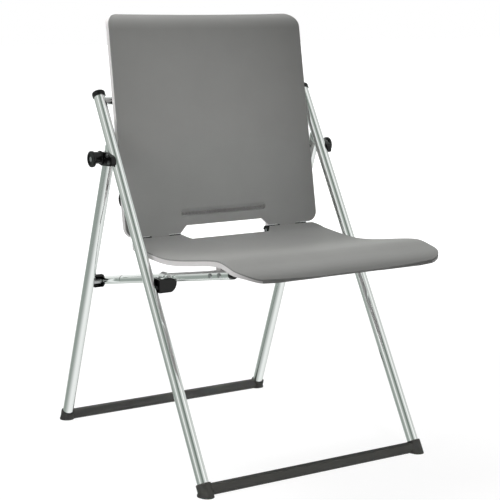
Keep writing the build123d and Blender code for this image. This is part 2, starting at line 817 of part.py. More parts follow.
def make_strap_screws():
    """Screws through the straps' feet into the saddles."""
    axis_z = rail_height(seat_pivot[0])
    with BuildPart() as screws:
        for x in strap_screw_x:
            places = [(side * x, mid_y + seat_pivot[0]) for side in SIDES.values()]
            with BuildSketch(Plane.XY.offset(saddle_top - strap_screw_len)):
                with Locations(*places):
                    Circle(rail_screw_d / 2)
            extrude(amount=axis_z + strap_t - saddle_top + strap_screw_len)
            with BuildSketch(Plane.XY.offset(axis_z + strap_t)):
                with Locations(*places):
                    Circle(small_head / 2)
            extrude(amount=screw_head_t)
    return screws


def make_seat_tube():
    """Tube between the seat rails, coped where it meets them."""
    place = (seat_tube_y, rail_height(seat_tube_y))
    with BuildPart() as tube:
        with BuildSketch(side_plane(-rail_half)):
            with Locations(place):
                Circle(seat_tube_d / 2)
                Circle(seat_tube_d / 2 - rail_wall, mode=Mode.SUBTRACT)
        extrude(amount=2 * rail_half)
        with BuildSketch(rail_axis):
            with Locations((rail_half, 0), (-rail_half, 0)):
                Circle(rail_d / 2)
        extrude(amount=rail_length, mode=Mode.SUBTRACT)
    return tube


def make_rail_screws():
    """Screws through the rails into the seat's lugs, heads outside."""
    outer = rail_half + rail_d / 2 - rail_screw_sink
    with BuildPart() as screws:
        for side in SIDES.values():
            for y in rail_screw_y:
                place = (y, rail_height(y))
                disc(side, place, rail_screw_d / 2, rail_half - rail_d / 2 - lug_w + 1, outer)
                disc(side, place, rail_screw_head / 2, outer, outer + screw_head_t + rail_screw_sink)
    return screws


# ---------------------------------------------------------------- seat
def seat_line(drops):
    """Seat's side view at a depth under its top, one depth for each station."""
    points = []
    tangents = []
    for (y, z), slope, drop in zip(seat_stations, seat_slopes, drops):
        a = radians(slope)
        points.append((y - drop * sin(a), z - drop * cos(a)))
        tangents.append((-cos(a), sin(a)))
    return Spline(*points, tangents=tangents)


def level(drop):
    return [drop] * len(seat_stations)


def seat_band(top, bottom):
    """Closed side-view face between two depths under the seat's top."""
    with BuildSketch(side_plane()) as band:
        with BuildLine():
            upper = seat_line(top)
            lower = seat_line(bottom)
            Line(upper @ 0, lower @ 0)
            Line(upper @ 1, lower @ 1)
        make_face()
    return band.sketch


plan_low = hinge_z - 120.0   # outlines are drawn clear of the seat and the backrest
plan_height = 240.0
outline_far = 120.0


def seat_plan(inset):
    """Seat's outline from above, with rounded corners and a bowed front edge."""
    front_y = nose[0] - 1.0
    side_y = front_y + seat_front_bow
    with BuildSketch(Plane(origin=(0, mid_y, plan_low))) as plan:
        with BuildLine():
            Polyline(
                (-seat_half, side_y),
                (-seat_half, hinge_edge[0] + 1),
                (seat_half, hinge_edge[0] + 1),
                (seat_half, side_y),
            )
            ThreePointArc((seat_half, side_y), (0, front_y), (-seat_half, side_y))
        make_face()
        rows = plan.vertices().group_by(Axis.Y)
        fillet(rows[0], seat_corner_front)
        rear_row = plan.vertices().sort_by(Axis.Y)[-2:]
        fillet(rear_row, seat_corner_rear)
        if inset > 0:
            offset(amount=-inset, mode=Mode.REPLACE)
    return plan.sketch


def cut_grip():
    """Seat's half of the hand hole."""
    with BuildSketch(Plane(origin=(0, mid_y, plan_low))) as grip:
        with BuildLine():
            Polyline(
                (-grip_low_half, hinge_edge[0] + 5),
                (-grip_low_half + 1, hinge_edge[0]),
                (-grip_top_half, grip_seat_y),
                (grip_top_half, grip_seat_y),
                (grip_low_half - 1, hinge_edge[0]),
                (grip_low_half, hinge_edge[0] + 5),
                close=True,
            )
        make_face()
    extrude(grip.sketch, amount=plan_height, mode=Mode.SUBTRACT)


def cut_barrel():
    """Round relief for the hinge barrels under the seat's rear edge."""
    with BuildSketch(side_plane()) as barrel:
        with Locations(hinge_point):
            Circle(knuckle_r + knuckle_clear)
    extrude(barrel.sketch, amount=seat_half, both=True, mode=Mode.SUBTRACT)


def make_seat_panel():
    """Coloured top panel of the seat."""
    with BuildPart() as panel:
        extrude(seat_band(level(0), level(panel_t)), amount=seat_half, both=True)
        extrude(seat_plan(0), amount=plan_height, mode=Mode.INTERSECT)
        cut_grip()
        cut_barrel()
    return panel


def make_seat_shell():
    """Pale carrier under the panel: skin, edge rim, ribs and screw lugs."""
    skin = panel_t + shell_t
    rim_drop = [skin] + [seat_rim] * (len(seat_stations) - 2) + [seat_nose_rim]
    rib_drops = [skin] + [rib_drop] * (len(seat_stations) - 3) + [rib_drop - 2, skin]
    with BuildPart() as rim:
        extrude(seat_band(level(panel_t), rim_drop), amount=seat_half, both=True)
        extrude(seat_plan(0), amount=plan_height, mode=Mode.INTERSECT)
        extrude(seat_plan(rim_w), amount=plan_height, mode=Mode.SUBTRACT)
        # the rim stops beside each hinge
        with BuildSketch(Plane(origin=(0, mid_y + hinge_y, plan_low))) as doors:
            for side in SIDES.values():
                inner, outer = barrel_ends(side)
                with Locations((side * (inner + outer) / 2, 0)):
                    Rectangle(outer - inner + 4, 2 * rim_w + 2 * knuckle_r)
        extrude(doors.sketch, amount=plan_height, mode=Mode.SUBTRACT)
    with BuildPart() as shell:
        extrude(seat_band(level(panel_t), level(skin)), amount=seat_half, both=True)
        ribs = seat_band(level(panel_t + shell_t / 2), rib_drops)
        for x in rib_x:
            rib = Location((x - rib_t / 2, 0, 0)) * ribs
            extrude(rib, amount=rib_t)
        extrude(seat_plan(0), amount=plan_height, mode=Mode.INTERSECT)
        # the ribs stop in front of the hinge leaves
        for side in SIDES.values():
            start = slab_start(side, hinge_inner - 2, hinge_outer + 2)
            with BuildSketch(side_plane(start)) as doors:
                with BuildLine():
                    Polyline(
                        (seat_leaf_front - 3, under_seat(seat_leaf_front)),
                        (lap[0], under_seat(lap[0])),
                        (waist[0], under_seat(waist[0])),
                        (seat_leaf_rear, under_seat(seat_leaf_rear, leaf_gap + leaf_drop / 2)),
                        (hinge_y, under_seat(seat_leaf_rear, leaf_gap + leaf_drop / 2)),
                        (hinge_y, hinge_z - 4 * leaf_t),
                        (seat_leaf_front - 3, hinge_z - 7 * leaf_t),
                        close=True,
                    )
                make_face()
            extrude(doors.sketch, amount=hinge_outer - hinge_inner + 4, mode=Mode.SUBTRACT)
        add(rim.part)
        # lugs that the rail screws enter
        for side in SIDES.values():
            inner = rail_half - rail_d / 2 - lug_w
            outer = inner + lug_w - 2 * fit
            for y in rail_screw_y:
                with BuildSketch(side_plane(slab_start(side, inner, outer))) as lug:
                    low = rail_height(y) - rail_screw_head
                    high = seat_height(y) - panel_t - shell_t / 2
                    with Locations((y, low)):
                        Rectangle(lug_len, high - low, align=(Align.CENTER, Align.MIN))
                extrude(lug.sketch, amount=outer - inner)
                disc(side, (y, rail_height(y)), rail_screw_d / 2 + running, inner + 0.8, outer, Mode.SUBTRACT)
        cut_grip()
        cut_barrel()
    return shell


# ---------------------------------------------------------------- hinges
leaf_screw_x = ((hinge_inner + tab_inner) / 2, (tab_outer + hinge_outer) / 2)
seat_leaf_rear = hinge_y - knuckle_r - 2.4
seat_leaf_front = seat_leaf_rear - leaf_len
leaf_screw_y = seat_leaf_front + leaf_len / 3


def barrel_ends(side):
    """Inner and outer end of a hinge's barrel; both hinges are the same part."""
    if side > 0:
        return hinge_inner, hinge_outer
    return hinge_inner + hinge_boss, hinge_outer + hinge_boss


def under_seat(y, extra=0.0):
    """Height of the shell's underside, or a little below it."""
    return seat_height(y) - panel_t - shell_t - extra


# The seat's knuckles fill the gap under the backrest's lower edge
hinge_up = -base_behind * sin(radians(recline)) - base_up * cos(radians(recline))
crown_r = back_low - hinge_up - knuckle_clear


def make_seat_hinge(side):
    """Seat's half of the hinge: two knuckles with raised backs, on one leaf under the shell."""
    barrel_inner, barrel_outer = barrel_ends(side)
    leaf_inner = hinge_inner + hinge_boss
    with BuildPart() as hinge:
        inner_knuckle = (barrel_inner, tab_inner - knuckle_gap)
        outer_knuckle = (tab_outer + knuckle_gap, barrel_outer)
        for inner, outer in (inner_knuckle, outer_knuckle):
            disc(side, hinge_point, knuckle_r, inner, outer)
            with BuildSketch(side_plane(slab_start(side, inner, outer))) as crown:
                with Locations(hinge_point):
                    Circle(crown_r)
                with Locations((hinge_y - crown_front, hinge_z)):
                    Rectangle(2 * crown_r, 2 * crown_r, align=(Align.MIN, Align.MIN), mode=Mode.INTERSECT)
            extrude(crown.sketch, amount=outer - inner)
            with BuildSketch(side_plane(slab_start(side, inner, outer))) as neck:
                with BuildLine():
                    Polyline(
                        (seat_leaf_rear, under_seat(seat_leaf_rear, leaf_gap + leaf_drop)),
                        (hinge_y - 2, hinge_z - 1),
                        (hinge_y, hinge_z - knuckle_r),
                        (seat_leaf_rear, under_seat(seat_leaf_rear, leaf_gap + leaf_drop + leaf_t)),
                        close=True,
                    )
                make_face()
            extrude(neck.sketch, amount=outer - inner)
        with BuildSketch(side_plane(slab_start(side, leaf_inner, hinge_outer))) as leaf:
            with BuildLine():
                Polyline(
                    (seat_leaf_rear, under_seat(seat_leaf_rear, leaf_gap + leaf_drop)),
                    (waist[0], under_seat(waist[0], leaf_gap + leaf_drop / 2)),
                    (lap[0], under_seat(lap[0], leaf_gap)),
                    (seat_leaf_front, under_seat(seat_leaf_front, leaf_gap)),
                    (seat_leaf_front, under_seat(seat_leaf_front, leaf_gap + leaf_t)),
                    (lap[0], under_seat(lap[0], leaf_gap + leaf_t)),
                    (waist[0], under_seat(waist[0], leaf_gap + leaf_drop / 2 + leaf_t)),
                    (seat_leaf_rear, under_seat(seat_leaf_rear, leaf_gap + leaf_drop + leaf_t)),
                    close=True,
                )
            make_face()
        extrude(leaf.sketch, amount=hinge_outer - leaf_inner)
        pin_hole = hinge_pin_d / 2 + running
        disc(side, hinge_point, pin_hole, barrel_inner - 1, barrel_outer + 1, Mode.SUBTRACT)
        for x in leaf_screw_x:
            with BuildSketch(Plane(origin=(side * x, mid_y + leaf_screw_y, plan_low))) as hole:
                Circle(leaf_screw_d / 2 + running)
            extrude(hole.sketch, amount=plan_height, mode=Mode.SUBTRACT)
    return hinge


def make_hinge_pin(side):
    barrel_inner, barrel_outer = barrel_ends(side)
    with BuildPart() as pin:
        disc(side, hinge_point, hinge_pin_d / 2, barrel_inner + 1, barrel_outer - 1)
    return pin


def make_back_hinge(side):
    """Backrest's half of the hinge: a knuckle with a leaf up the shell's back."""
    inner = tab_inner
    outer = tab_outer
    axis = back_side.to_local_coords(Vector(0, mid_y + hinge_y, hinge_z))
    with BuildPart() as hinge:
        disc(side, hinge_point, knuckle_r, inner, outer)
        start = back_side.offset(slab_start(side, inner, outer))
        with BuildSketch(start) as leaf:
            with BuildLine():
                Polyline(
                    (axis.X, axis.Y),
                    (axis.X + knuckle_r, axis.Y),
                    (back_skin + leaf_t, back_low + 3),
                    (back_skin + leaf_t, leaf_len),
                    (back_skin, leaf_len),
                    (back_skin, back_low),
                    close=True,
                )
            make_face()
        extrude(leaf.sketch, amount=outer - inner)
        disc(side, hinge_point, hinge_pin_d / 2 + running, inner - 1, outer + 1, Mode.SUBTRACT)
        with BuildSketch(back_face) as holes:
            for up in back_leaf_screws:
                with Locations((side * (inner + outer) / 2, up)):
                    Circle(leaf_screw_d / 2 + running)
        extrude(holes.sketch, amount=-3 * leaf_t - back_skin, mode=Mode.SUBTRACT)
    return hinge


back_leaf_screws = (leaf_len * 0.4, leaf_len * 0.8)


def make_seat_hinge_screws():
    """Screws from below through the seat's hinge leaves into the shell."""
    low = under_seat(leaf_screw_y, leaf_gap + leaf_t) - leaf_screw_stand
    places = [(side * x, mid_y + leaf_screw_y) for side in SIDES.values() for x in leaf_screw_x]
    with BuildPart() as screws:
        with BuildSketch(Plane.XY.offset(low)):
            with Locations(*places):
                Circle(leaf_screw_head / 2)
        extrude(amount=-screw_head_t)
        with BuildSketch(Plane.XY.offset(low)):
            with Locations(*places):
                Circle(leaf_screw_d / 2)
        extrude(amount=leaf_t + leaf_screw_stand)
    return screws


def make_back_screws():
    """Screws through the hinge leaves and the guides' flanges into the backrest's shell."""
    guide_x = (guide_inner + guide_outer) / 2
    with BuildPart() as screws:
        for x, ups, thick in ((tab_mid, back_leaf_screws, leaf_t), (guide_x, guide_screws, guide_foot)):
            places = [(side * x, up) for side in SIDES.values() for up in ups]
            with BuildSketch(back_face.offset(-back_skin - thick)):
                with Locations(*places):
                    Circle(leaf_screw_head / 2)
            extrude(amount=-screw_head_t)
            with BuildSketch(back_face.offset(-back_skin - thick)):
                with Locations(*places):
                    Circle(leaf_screw_d / 2)
            extrude(amount=thick)
    return screws


# ---------------------------------------------------------------- backrest
recline_r = radians(recline)
roll_r_end = recline_r + radians(roll_angle)
roll_start = (back_top_z - back_base[1] - roll_r * (sin(roll_r_end) - sin(recline_r))) / cos(recline_r)


def back_band(front, rear, low):
    """Closed side-view face of the backrest between two depths, with its rolled top."""
    a = radians(roll_angle)
    half = a / 2

    def on_roll(depth, angle):
        r = roll_r - depth
        return (roll_r - r * cos(angle), roll_start + r * sin(angle))

    with BuildSketch(back_side) as band:
        with BuildLine():
            Line((front, low), (front, roll_start))
            ThreePointArc((front, roll_start), on_roll(front, half), on_roll(front, a))
            Line(on_roll(front, a), on_roll(rear, a))
            ThreePointArc(on_roll(rear, a), on_roll(rear, half), (rear, roll_start))
            Line((rear, roll_start), (rear, low))
            Line((rear, low), (front, low))
        make_face()
    return band.sketch


def back_outline(inset, tabs):
    """Backrest's outline from the front, with the hand hole and, if asked, the hinge tabs."""
    top = roll_start + roll_r * sin(radians(roll_angle)) + 0.5 - inset
    low = back_low + inset
    half_low = back_half - inset
    half_top = half_low - back_taper
    with BuildSketch(back_face.offset(outline_far)) as outline:
        with BuildLine():
            Polyline((-half_top, top), (-half_low, low), (half_low, low), (half_top, top))
            ThreePointArc((half_top, top), (0, top - back_dip), (-half_top, top))
        make_face()
        rows = outline.vertices().sort_by(Axis.Y)
        fillet(rows[:2], back_corner_low - inset)
        top_row = outline.vertices().sort_by(Axis.Y)[-2:]
        fillet(top_row, back_corner_top - inset)
        if tabs:
            tab_width = tab_outer - tab_inner - 2 * knuckle_gap
            for side in SIDES.values():
                with Locations((side * tab_mid, tab_low)):
                    Rectangle(tab_width, 2 * back_low, align=(Align.CENTER, Align.MIN))
        if inset == 0:
            slope = (grip_low_half - grip_top_half) / (grip_back - back_low)
            with BuildLine():
                Polyline(
                    (-grip_low_half - slope * back_low, 0),
                    (-grip_top_half, grip_back),
                    (grip_top_half, grip_back),
                    (grip_low_half + slope * back_low, 0),
                    close=True,
                )
            make_face(mode=Mode.SUBTRACT)
    return outline.sketch


def make_back_panel():
    """Coloured front panel of the backrest, with its pressed groove."""
    with BuildPart() as panel:
        extrude(back_band(0, panel_t, 0), amount=back_half, both=True)
        extrude(back_outline(0, True), amount=-2 * outline_far, mode=Mode.INTERSECT)
        with BuildSketch(back_face) as groove:
            with Locations((0, groove_up)):
                SlotOverall(2 * groove_half, groove_h)
        extrude(groove.sketch, amount=-groove_depth, mode=Mode.SUBTRACT)
    return panel


def make_back_shell():
    """Pale carrier behind the panel: skin, edge rim and ribs."""
    skin = panel_t + shell_t
    with BuildPart() as rim:
        extrude(back_band(panel_t, back_rim, 0), amount=back_half, both=True)
        extrude(back_outline(0, False), amount=-2 * outline_far, mode=Mode.INTERSECT)
        extrude(back_outline(rim_w, False), amount=-2 * outline_far, mode=Mode.SUBTRACT)
        # the rim stops beside each hinge
        with BuildSketch(back_face) as doors:
            for side in SIDES.values():
                with Locations((side * tab_mid, back_low)):
                    Rectangle(tab_outer - tab_inner + 2, 2 * back_corner_low)
        extrude(doors.sketch, amount=-2 * back_rim, mode=Mode.SUBTRACT)
    with BuildPart() as shell:
        extrude(back_band(panel_t, skin, 0), amount=back_half, both=True)
        extrude(back_outline(0, False), amount=-2 * outline_far, mode=Mode.INTERSECT)
        add(rim.part)
        low, high = back_rib_ends
        for x in rib_x:
            with BuildSketch(back_side.offset(x - rib_t / 2)) as rib:
                with BuildLine():
                    Polyline(
                        (skin - 1, low),
                        (skin, low),
                        (back_rib_drop, low + 12),
                        (back_rib_drop, high - 12),
                        (skin, high),
                        (skin - 1, high),
                        close=True,
                    )
                make_face()
            extrude(rib.sketch, amount=rib_t)
        for up in back_cross_ribs:
            with BuildSketch(back_side.offset(rib_x[0])) as rib:
                with Locations((skin - 1, up)):
                    Rectangle(back_rib_drop - skin, rib_t, align=(Align.MIN, Align.CENTER))
            extrude(rib.sketch, amount=rib_x[-1] - rib_x[0])
    return shell


def turned(point, centre, degrees_on):
    """Side-view point turned about a centre, +Y towards +Z."""
    a = radians(degrees_on)
    dy = point[0] - centre[0]
    dz = point[1] - centre[1]
    return (centre[0] + dy * cos(a) - dz * sin(a), centre[1] + dy * sin(a) + dz * cos(a))


def tube_in_back(fold):
    """Where the cross tube lies in the backrest's own side view, after the seat turns by fold."""
    seen_from_seat = turned(cross_point, seat_pivot, -fold)
    seen = turned(seen_from_seat, hinge_point, (1 + back_ratio) * fold)
    dy = seen[0] - back_base[0]
    dz = seen[1] - back_base[1]
    return (dy * cos(recline_r) - dz * sin(recline_r), dy * sin(recline_r) + dz * cos(recline_r))


# The guides' slot follows the tube over the whole fold
tube_path = [tube_in_back(fold_angle * step / 10) for step in range(11)]
slot_r = cross_tube_d / 2 + guide_play
guide_high = max(up for depth, up in tube_path) + slot_r + guide_wall
guide_low = min(up for depth, up in tube_path) - slot_r - guide_wall
guide_foot = guide_wall - 0.5
guide_screws = (guide_low - guide_flange / 2, guide_high + guide_flange / 2)


def make_guide(side):
    """Stirrup on the backrest, with a slot that slides on the cross tube."""
    start = back_side.offset(slab_start(side, guide_inner, guide_outer))
    foot_mid = back_skin + guide_foot / 2
    width = guide_outer - guide_inner
    with BuildPart() as guide:
        with BuildSketch(start) as stirrup:
            with Locations(*tube_path):
                Circle(slot_r + guide_wall)
            with Locations((foot_mid, guide_low + guide_wall), (foot_mid, guide_high - guide_wall)):
                Circle(guide_foot / 2)
            make_hull()
            foot_height = guide_high - guide_low + 2 * guide_flange
            with Locations((back_skin, (guide_low + guide_high) / 2)):
                Rectangle(guide_foot, foot_height, align=(Align.MIN, Align.CENTER))
        extrude(stirrup.sketch, amount=width)
        with BuildSketch(start) as slot:
            with Locations(*tube_path):
                Circle(slot_r)
            make_hull()
        extrude(slot.sketch, amount=width, mode=Mode.SUBTRACT)
        with BuildSketch(back_face) as holes:
            for up in guide_screws:
                with Locations((side * (guide_inner + guide_outer) / 2, up)):
                    Circle(guide_screw_d / 2 + running)
        extrude(holes.sketch, amount=-2 * guide_foot - back_skin, mode=Mode.SUBTRACT)
    return guide


def make_buffers():
    """Bulging rubber pads on the rear edge of the backrest's rim, each with a tongue inside it."""
    outline_top = roll_start + roll_r * sin(radians(roll_angle))
    rim_side = back_half - back_taper * (buffer_up + buffer_h / 2) / outline_top
    outer = rim_side - buffer_inset
    inner = outer - buffer_w
    tongue_outer = rim_side - rim_w - buffer_play
    low = buffer_up - buffer_h / 2
    high = buffer_up + buffer_h / 2
    with BuildPart() as pads:
        for side in SIDES.values():
            with BuildSketch(back_side.offset(slab_start(side, inner, outer))) as bulge:
                with BuildLine():
                    ThreePointArc((back_rim, low), (back_rim + buffer_t, buffer_up), (back_rim, high))
                    Line((back_rim, high), (back_rim, low))
                make_face()
            extrude(bulge.sketch, amount=outer - inner)
            with BuildSketch(back_side.offset(slab_start(side, inner, tongue_outer))) as tongue:
                with Locations((back_skin, buffer_up)):
                    Rectangle(back_rim - back_skin, buffer_tongue, align=(Align.MIN, Align.CENTER))
            extrude(tongue.sketch, amount=tongue_outer - inner)
    return pads


# ---------------------------------------------------------------- build and write
save("top_cross_tube", make_cross_tube())
save("front_foot_bar", make_foot_bar(front_axis, -1, front_rim))
save("front_bar_core", make_bar_core(-1))
save("rear_foot_bar", make_foot_bar(rear_axis, 1, rear_rim))
save("rear_bar_core", make_bar_core(1))
save("seat_cross_tube", make_seat_tube())
save("seat_panel", make_seat_panel())
save("seat_shell", make_seat_shell())
save("backrest_panel", make_back_panel())
save("backrest_shell", make_back_shell())
save("pivot_plate_rivets", make_plate_rivets())
save("hook_screws", make_hook_screws())
save("strap_screws", make_strap_screws())
save("rail_screws", make_rail_screws())
save("seat_hinge_screws", make_seat_hinge_screws())
save("back_screws", make_back_screws())
save("back_buffers", make_buffers())

for name, side in SIDES.items():
    save(f"front_leg_{name}", make_front_tube(side))
    save(f"front_leg_cap_{name}", make_front_cap(side))
    save(f"pivot_plate_{name}", make_pivot_plate(side))
    save(f"pivot_bolt_{name}", make_pivot_bolt(side))
    save(f"link_knob_{name}", make_knob(side))
    save(f"seat_pivot_stud_{name}", make_seat_stud(side))
    save(f"rear_leg_{name}", make_rear_tube(side))
    save(f"rear_leg_stop_{name}", make_stop_pad(side))
    save(f"pivot_bush_{name}", make_pivot_bush(side))
    save(f"lock_pin_{name}", make_lock_pin(side))
    save(f"seat_rail_{name}", make_seat_rail(side))
    save(f"rail_hook_{name}", make_rail_hook(side))
    save(f"rail_plug_{name}", make_rail_plug(side))
    save(f"pivot_saddle_{name}", make_pivot_saddle(side))
    save(f"rail_strap_{name}", make_rail_strap(side))
    save(f"seat_hinge_{name}", make_seat_hinge(side))
    save(f"hinge_pin_{name}", make_hinge_pin(side))
    save(f"back_hinge_{name}", make_back_hinge(side))
    save(f"cross_tube_guide_{name}", make_guide(side))
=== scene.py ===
"""Folding nesting chair, dressed for viewing.

Bright chromed tube legs cross under a pivot with a spool-shaped knob. The moulded seat and
backrest are grey panels on pale carriers, and the fittings are black nylon.
"""
import json
import logging
import math
from collections.abc import Callable
from dataclasses import dataclass
from enum import Enum

import bmesh
import bpy
from mathutils import Matrix, Vector

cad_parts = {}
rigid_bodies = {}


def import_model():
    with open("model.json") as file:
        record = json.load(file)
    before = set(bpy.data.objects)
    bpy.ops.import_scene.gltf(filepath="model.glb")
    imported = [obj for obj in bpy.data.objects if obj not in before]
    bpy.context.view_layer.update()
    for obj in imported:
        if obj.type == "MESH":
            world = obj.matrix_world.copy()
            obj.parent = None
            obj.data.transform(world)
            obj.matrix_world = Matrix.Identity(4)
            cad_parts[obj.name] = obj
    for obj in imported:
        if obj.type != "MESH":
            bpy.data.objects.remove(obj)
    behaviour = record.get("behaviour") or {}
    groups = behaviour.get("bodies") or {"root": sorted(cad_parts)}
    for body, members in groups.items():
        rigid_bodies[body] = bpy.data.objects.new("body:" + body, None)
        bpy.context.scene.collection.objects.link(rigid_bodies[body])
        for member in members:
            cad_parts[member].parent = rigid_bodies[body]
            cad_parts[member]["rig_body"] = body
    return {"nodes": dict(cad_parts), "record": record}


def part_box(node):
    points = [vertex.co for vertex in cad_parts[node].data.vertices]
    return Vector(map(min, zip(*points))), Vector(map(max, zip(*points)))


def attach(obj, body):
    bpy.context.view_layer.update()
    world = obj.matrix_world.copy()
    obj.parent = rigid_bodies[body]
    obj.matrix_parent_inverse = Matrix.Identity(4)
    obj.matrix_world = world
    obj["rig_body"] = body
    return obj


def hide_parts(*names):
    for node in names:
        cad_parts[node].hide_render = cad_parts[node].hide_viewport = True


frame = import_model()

logging.basicConfig(level=logging.INFO, format="%(name)s: %(message)s")
LOG = logging.getLogger("chair")

MM = 0.001
WELD = 0.01 * MM                     # points closer than this become one
CUT = 0.001 * MM                     # points closer than this to a cutting plane lie on it

Point = tuple[float, float, float]
Stops = tuple[tuple[float, str], ...]
Reshape = Callable[[bmesh.types.BMesh], None]


# ---------------------------------------------------------------- node helpers
def linear(hex_colour: str) -> tuple[float, float, float, float]:
    """Turn an sRGB hex colour into linear values.

    Args:
        hex_colour: six hex digits, such as "8a8a8c".

    Returns:
        Linear red, green, blue and an alpha of 1.
    """
    channels = []
    for start in (0, 2, 4):
        value = int(hex_colour[start:start + 2], 16) / 255
        channels.append(value / 12.92 if value <= 0.04045 else ((value + 0.055) / 1.055) ** 2.4)
    return (*channels, 1.0)


def add_node(tree: bpy.types.NodeTree, kind: str, settings: dict | None = None,
             values: dict | None = None, links: dict | None = None) -> bpy.types.Node:
    """Add a node with its settings, socket values and incoming links.

    Args:
        tree: the node tree that takes the node.
        kind: the node's type name.
        settings: attributes of the node.
        values: input socket name or number to its value.
        links: input socket name or number to the output socket that feeds it.

    Returns:
        The new node.
    """
    node = tree.nodes.new(kind)
    for name, value in (settings or {}).items():
        setattr(node, name, value)
    for name, value in (values or {}).items():
        node.inputs[name].default_value = value
    for name, socket in (links or {}).items():
        tree.links.new(socket, node.inputs[name])
    return node


def new_material(name: str) -> tuple[bpy.types.Material, bpy.types.NodeTree, bpy.types.Node]:
    """Start a node material.

    Args:
        name: the material's plain name.

    Returns:
        The material, its node tree and its Principled shader.
    """
    material = bpy.data.materials.new(name)
    material.use_nodes = True
    tree = material.node_tree
    shader = next(node for node in tree.nodes if node.type == "BSDF_PRINCIPLED")
    return material, tree, shader


# ---------------------------------------------------------------- finishes
@dataclass(frozen=True)
class ChromePlate:
    """Chromium plate on drawn steel tube: mirror bright, with faint drawing lines."""

    name: str = "chrome plate on drawn steel tube"
    colour: str = "fafcfb"
    roughness: float = 0.05
    patch_mm: float = 30.0           # size of the patches that wear and wiping leave
    polished: float = 0.7            # share of the roughness where wiping keeps it bright
    dulled: float = 1.5              # and where wear has dulled it
    line_mm: float = 0.6             # drawing lines, coarser than real so that they show
    line_depth_mm: float = 0.1
    line_strength: float = 0.004

    def build(self) -> bpy.types.Material:
        """Build the material.

        Returns:
            The material.
        """
        material, tree, shader = new_material(self.name)
        coords = add_node(tree, "ShaderNodeTexCoord")
        wear = add_node(tree, "ShaderNodeTexNoise",
                        values={"Scale": 1 / (self.patch_mm * MM), "Detail": 4.0, "Roughness": 0.6},
                        links={"Vector": coords.outputs["Object"]})
        rough = add_node(tree, "ShaderNodeMapRange",
                         values={"To Min": self.roughness * self.polished,
                                 "To Max": self.roughness * self.dulled},
                         links={"Value": wear.outputs["Fac"]})
        lines = add_node(tree, "ShaderNodeTexNoise",
                         values={"Scale": 1 / (self.line_mm * MM), "Detail": 2.0},
                         links={"Vector": coords.outputs["Object"]})
        bump = add_node(tree, "ShaderNodeBump",
                        values={"Strength": self.line_strength, "Distance": self.line_depth_mm * MM},
                        links={"Height": lines.outputs["Fac"]})
        shader.inputs["Base Color"].default_value = linear(self.colour)
        shader.inputs["Metallic"].default_value = 1.0
        tree.links.new(rough.outputs["Result"], shader.inputs["Roughness"])
        tree.links.new(bump.outputs["Normal"], shader.inputs["Normal"])
        return material


@dataclass(frozen=True)
class ZincSteel:
    """Zinc-plated steel of pins and screws: silvery and slightly cloudy."""

    name: str = "zinc plated steel"
    colour: str = "b9babb"
    roughness: float = 0.34
    cloud_mm: float = 3.0            # size of the plate's clouds
    brighter: float = 0.08           # how far a cloud's roughness goes below the middle
    duller: float = 0.12             # and above it

    def build(self) -> bpy.types.Material:
        """Build the material.

        Returns:
            The material.
        """
        material, tree, shader = new_material(self.name)
        coords = add_node(tree, "ShaderNodeTexCoord")
        cloud = add_node(tree, "ShaderNodeTexNoise",
                         values={"Scale": 1 / (self.cloud_mm * MM), "Detail": 5.0, "Roughness": 0.65},
                         links={"Vector": coords.outputs["Object"]})
        rough = add_node(tree, "ShaderNodeMapRange",
                         values={"To Min": self.roughness - self.brighter,
                                 "To Max": self.roughness + self.duller},
                         links={"Value": cloud.outputs["Fac"]})
        shader.inputs["Base Color"].default_value = linear(self.colour)
        shader.inputs["Metallic"].default_value = 1.0
        tree.links.new(rough.outputs["Result"], shader.inputs["Roughness"])
        return material


@dataclass(frozen=True)
class MouldedPlastic:
    """Injection-moulded plastic or rubber: even in colour, with the mould's fine eroded grain."""

    name: str
    colour: str
    variation: str                   # colour that the broad mottling drifts to
    roughness: float
    grain_mm: float = 0.9            # grain spacing, coarser than real so that it shows
    grain_depth_mm: float = 0.03
    grain_strength: float = 0.5
    grain_gloss: float = 0.06        # how far the grain's roughness goes below the middle
    grain_dull: float = 0.08         # and above it
    specular: float = 0.5
    mottle_mm: float = 60.0          # size of the broad mottling
    mottle_from: float = 0.35        # noise below this leaves the colour alone
    mottle_to: float = 0.75          # and above this gives the most mottling
    mottle: float = 0.35             # the most that the colour drifts

    def build(self) -> bpy.types.Material:
        """Build the material.

        Returns:
            The material.
        """
        material, tree, shader = new_material(self.name)
        coords = add_node(tree, "ShaderNodeTexCoord")
        broad = add_node(tree, "ShaderNodeTexNoise",
                         values={"Scale": 1 / (self.mottle_mm * MM), "Detail": 3.0, "Roughness": 0.5},
                         links={"Vector": coords.outputs["Object"]})
        drift = add_node(tree, "ShaderNodeMapRange",
                         values={"From Min": self.mottle_from, "From Max": self.mottle_to,
                                 "To Max": self.mottle},
                         links={"Value": broad.outputs["Fac"]})
        colour = add_node(tree, "ShaderNodeMix", settings={"data_type": "RGBA"},
                          values={6: linear(self.colour), 7: linear(self.variation)},
                          links={0: drift.outputs["Result"]})
        grain = add_node(tree, "ShaderNodeTexNoise",
                         values={"Scale": 1 / (self.grain_mm * MM), "Detail": 3.0, "Roughness": 0.6},
                         links={"Vector": coords.outputs["Object"]})
        rough = add_node(tree, "ShaderNodeMapRange",
                         values={"To Min": self.roughness - self.grain_gloss,
                                 "To Max": self.roughness + self.grain_dull},
                         links={"Value": grain.outputs["Fac"]})
        bump = add_node(tree, "ShaderNodeBump",
                        values={"Strength": self.grain_strength, "Distance": self.grain_depth_mm * MM},
                        links={"Height": grain.outputs["Fac"]})
        shader.inputs["Specular IOR Level"].default_value = self.specular
        tree.links.new(colour.outputs[2], shader.inputs["Base Color"])
        tree.links.new(rough.outputs["Result"], shader.inputs["Roughness"])
        tree.links.new(bump.outputs["Normal"], shader.inputs["Normal"])
        return material


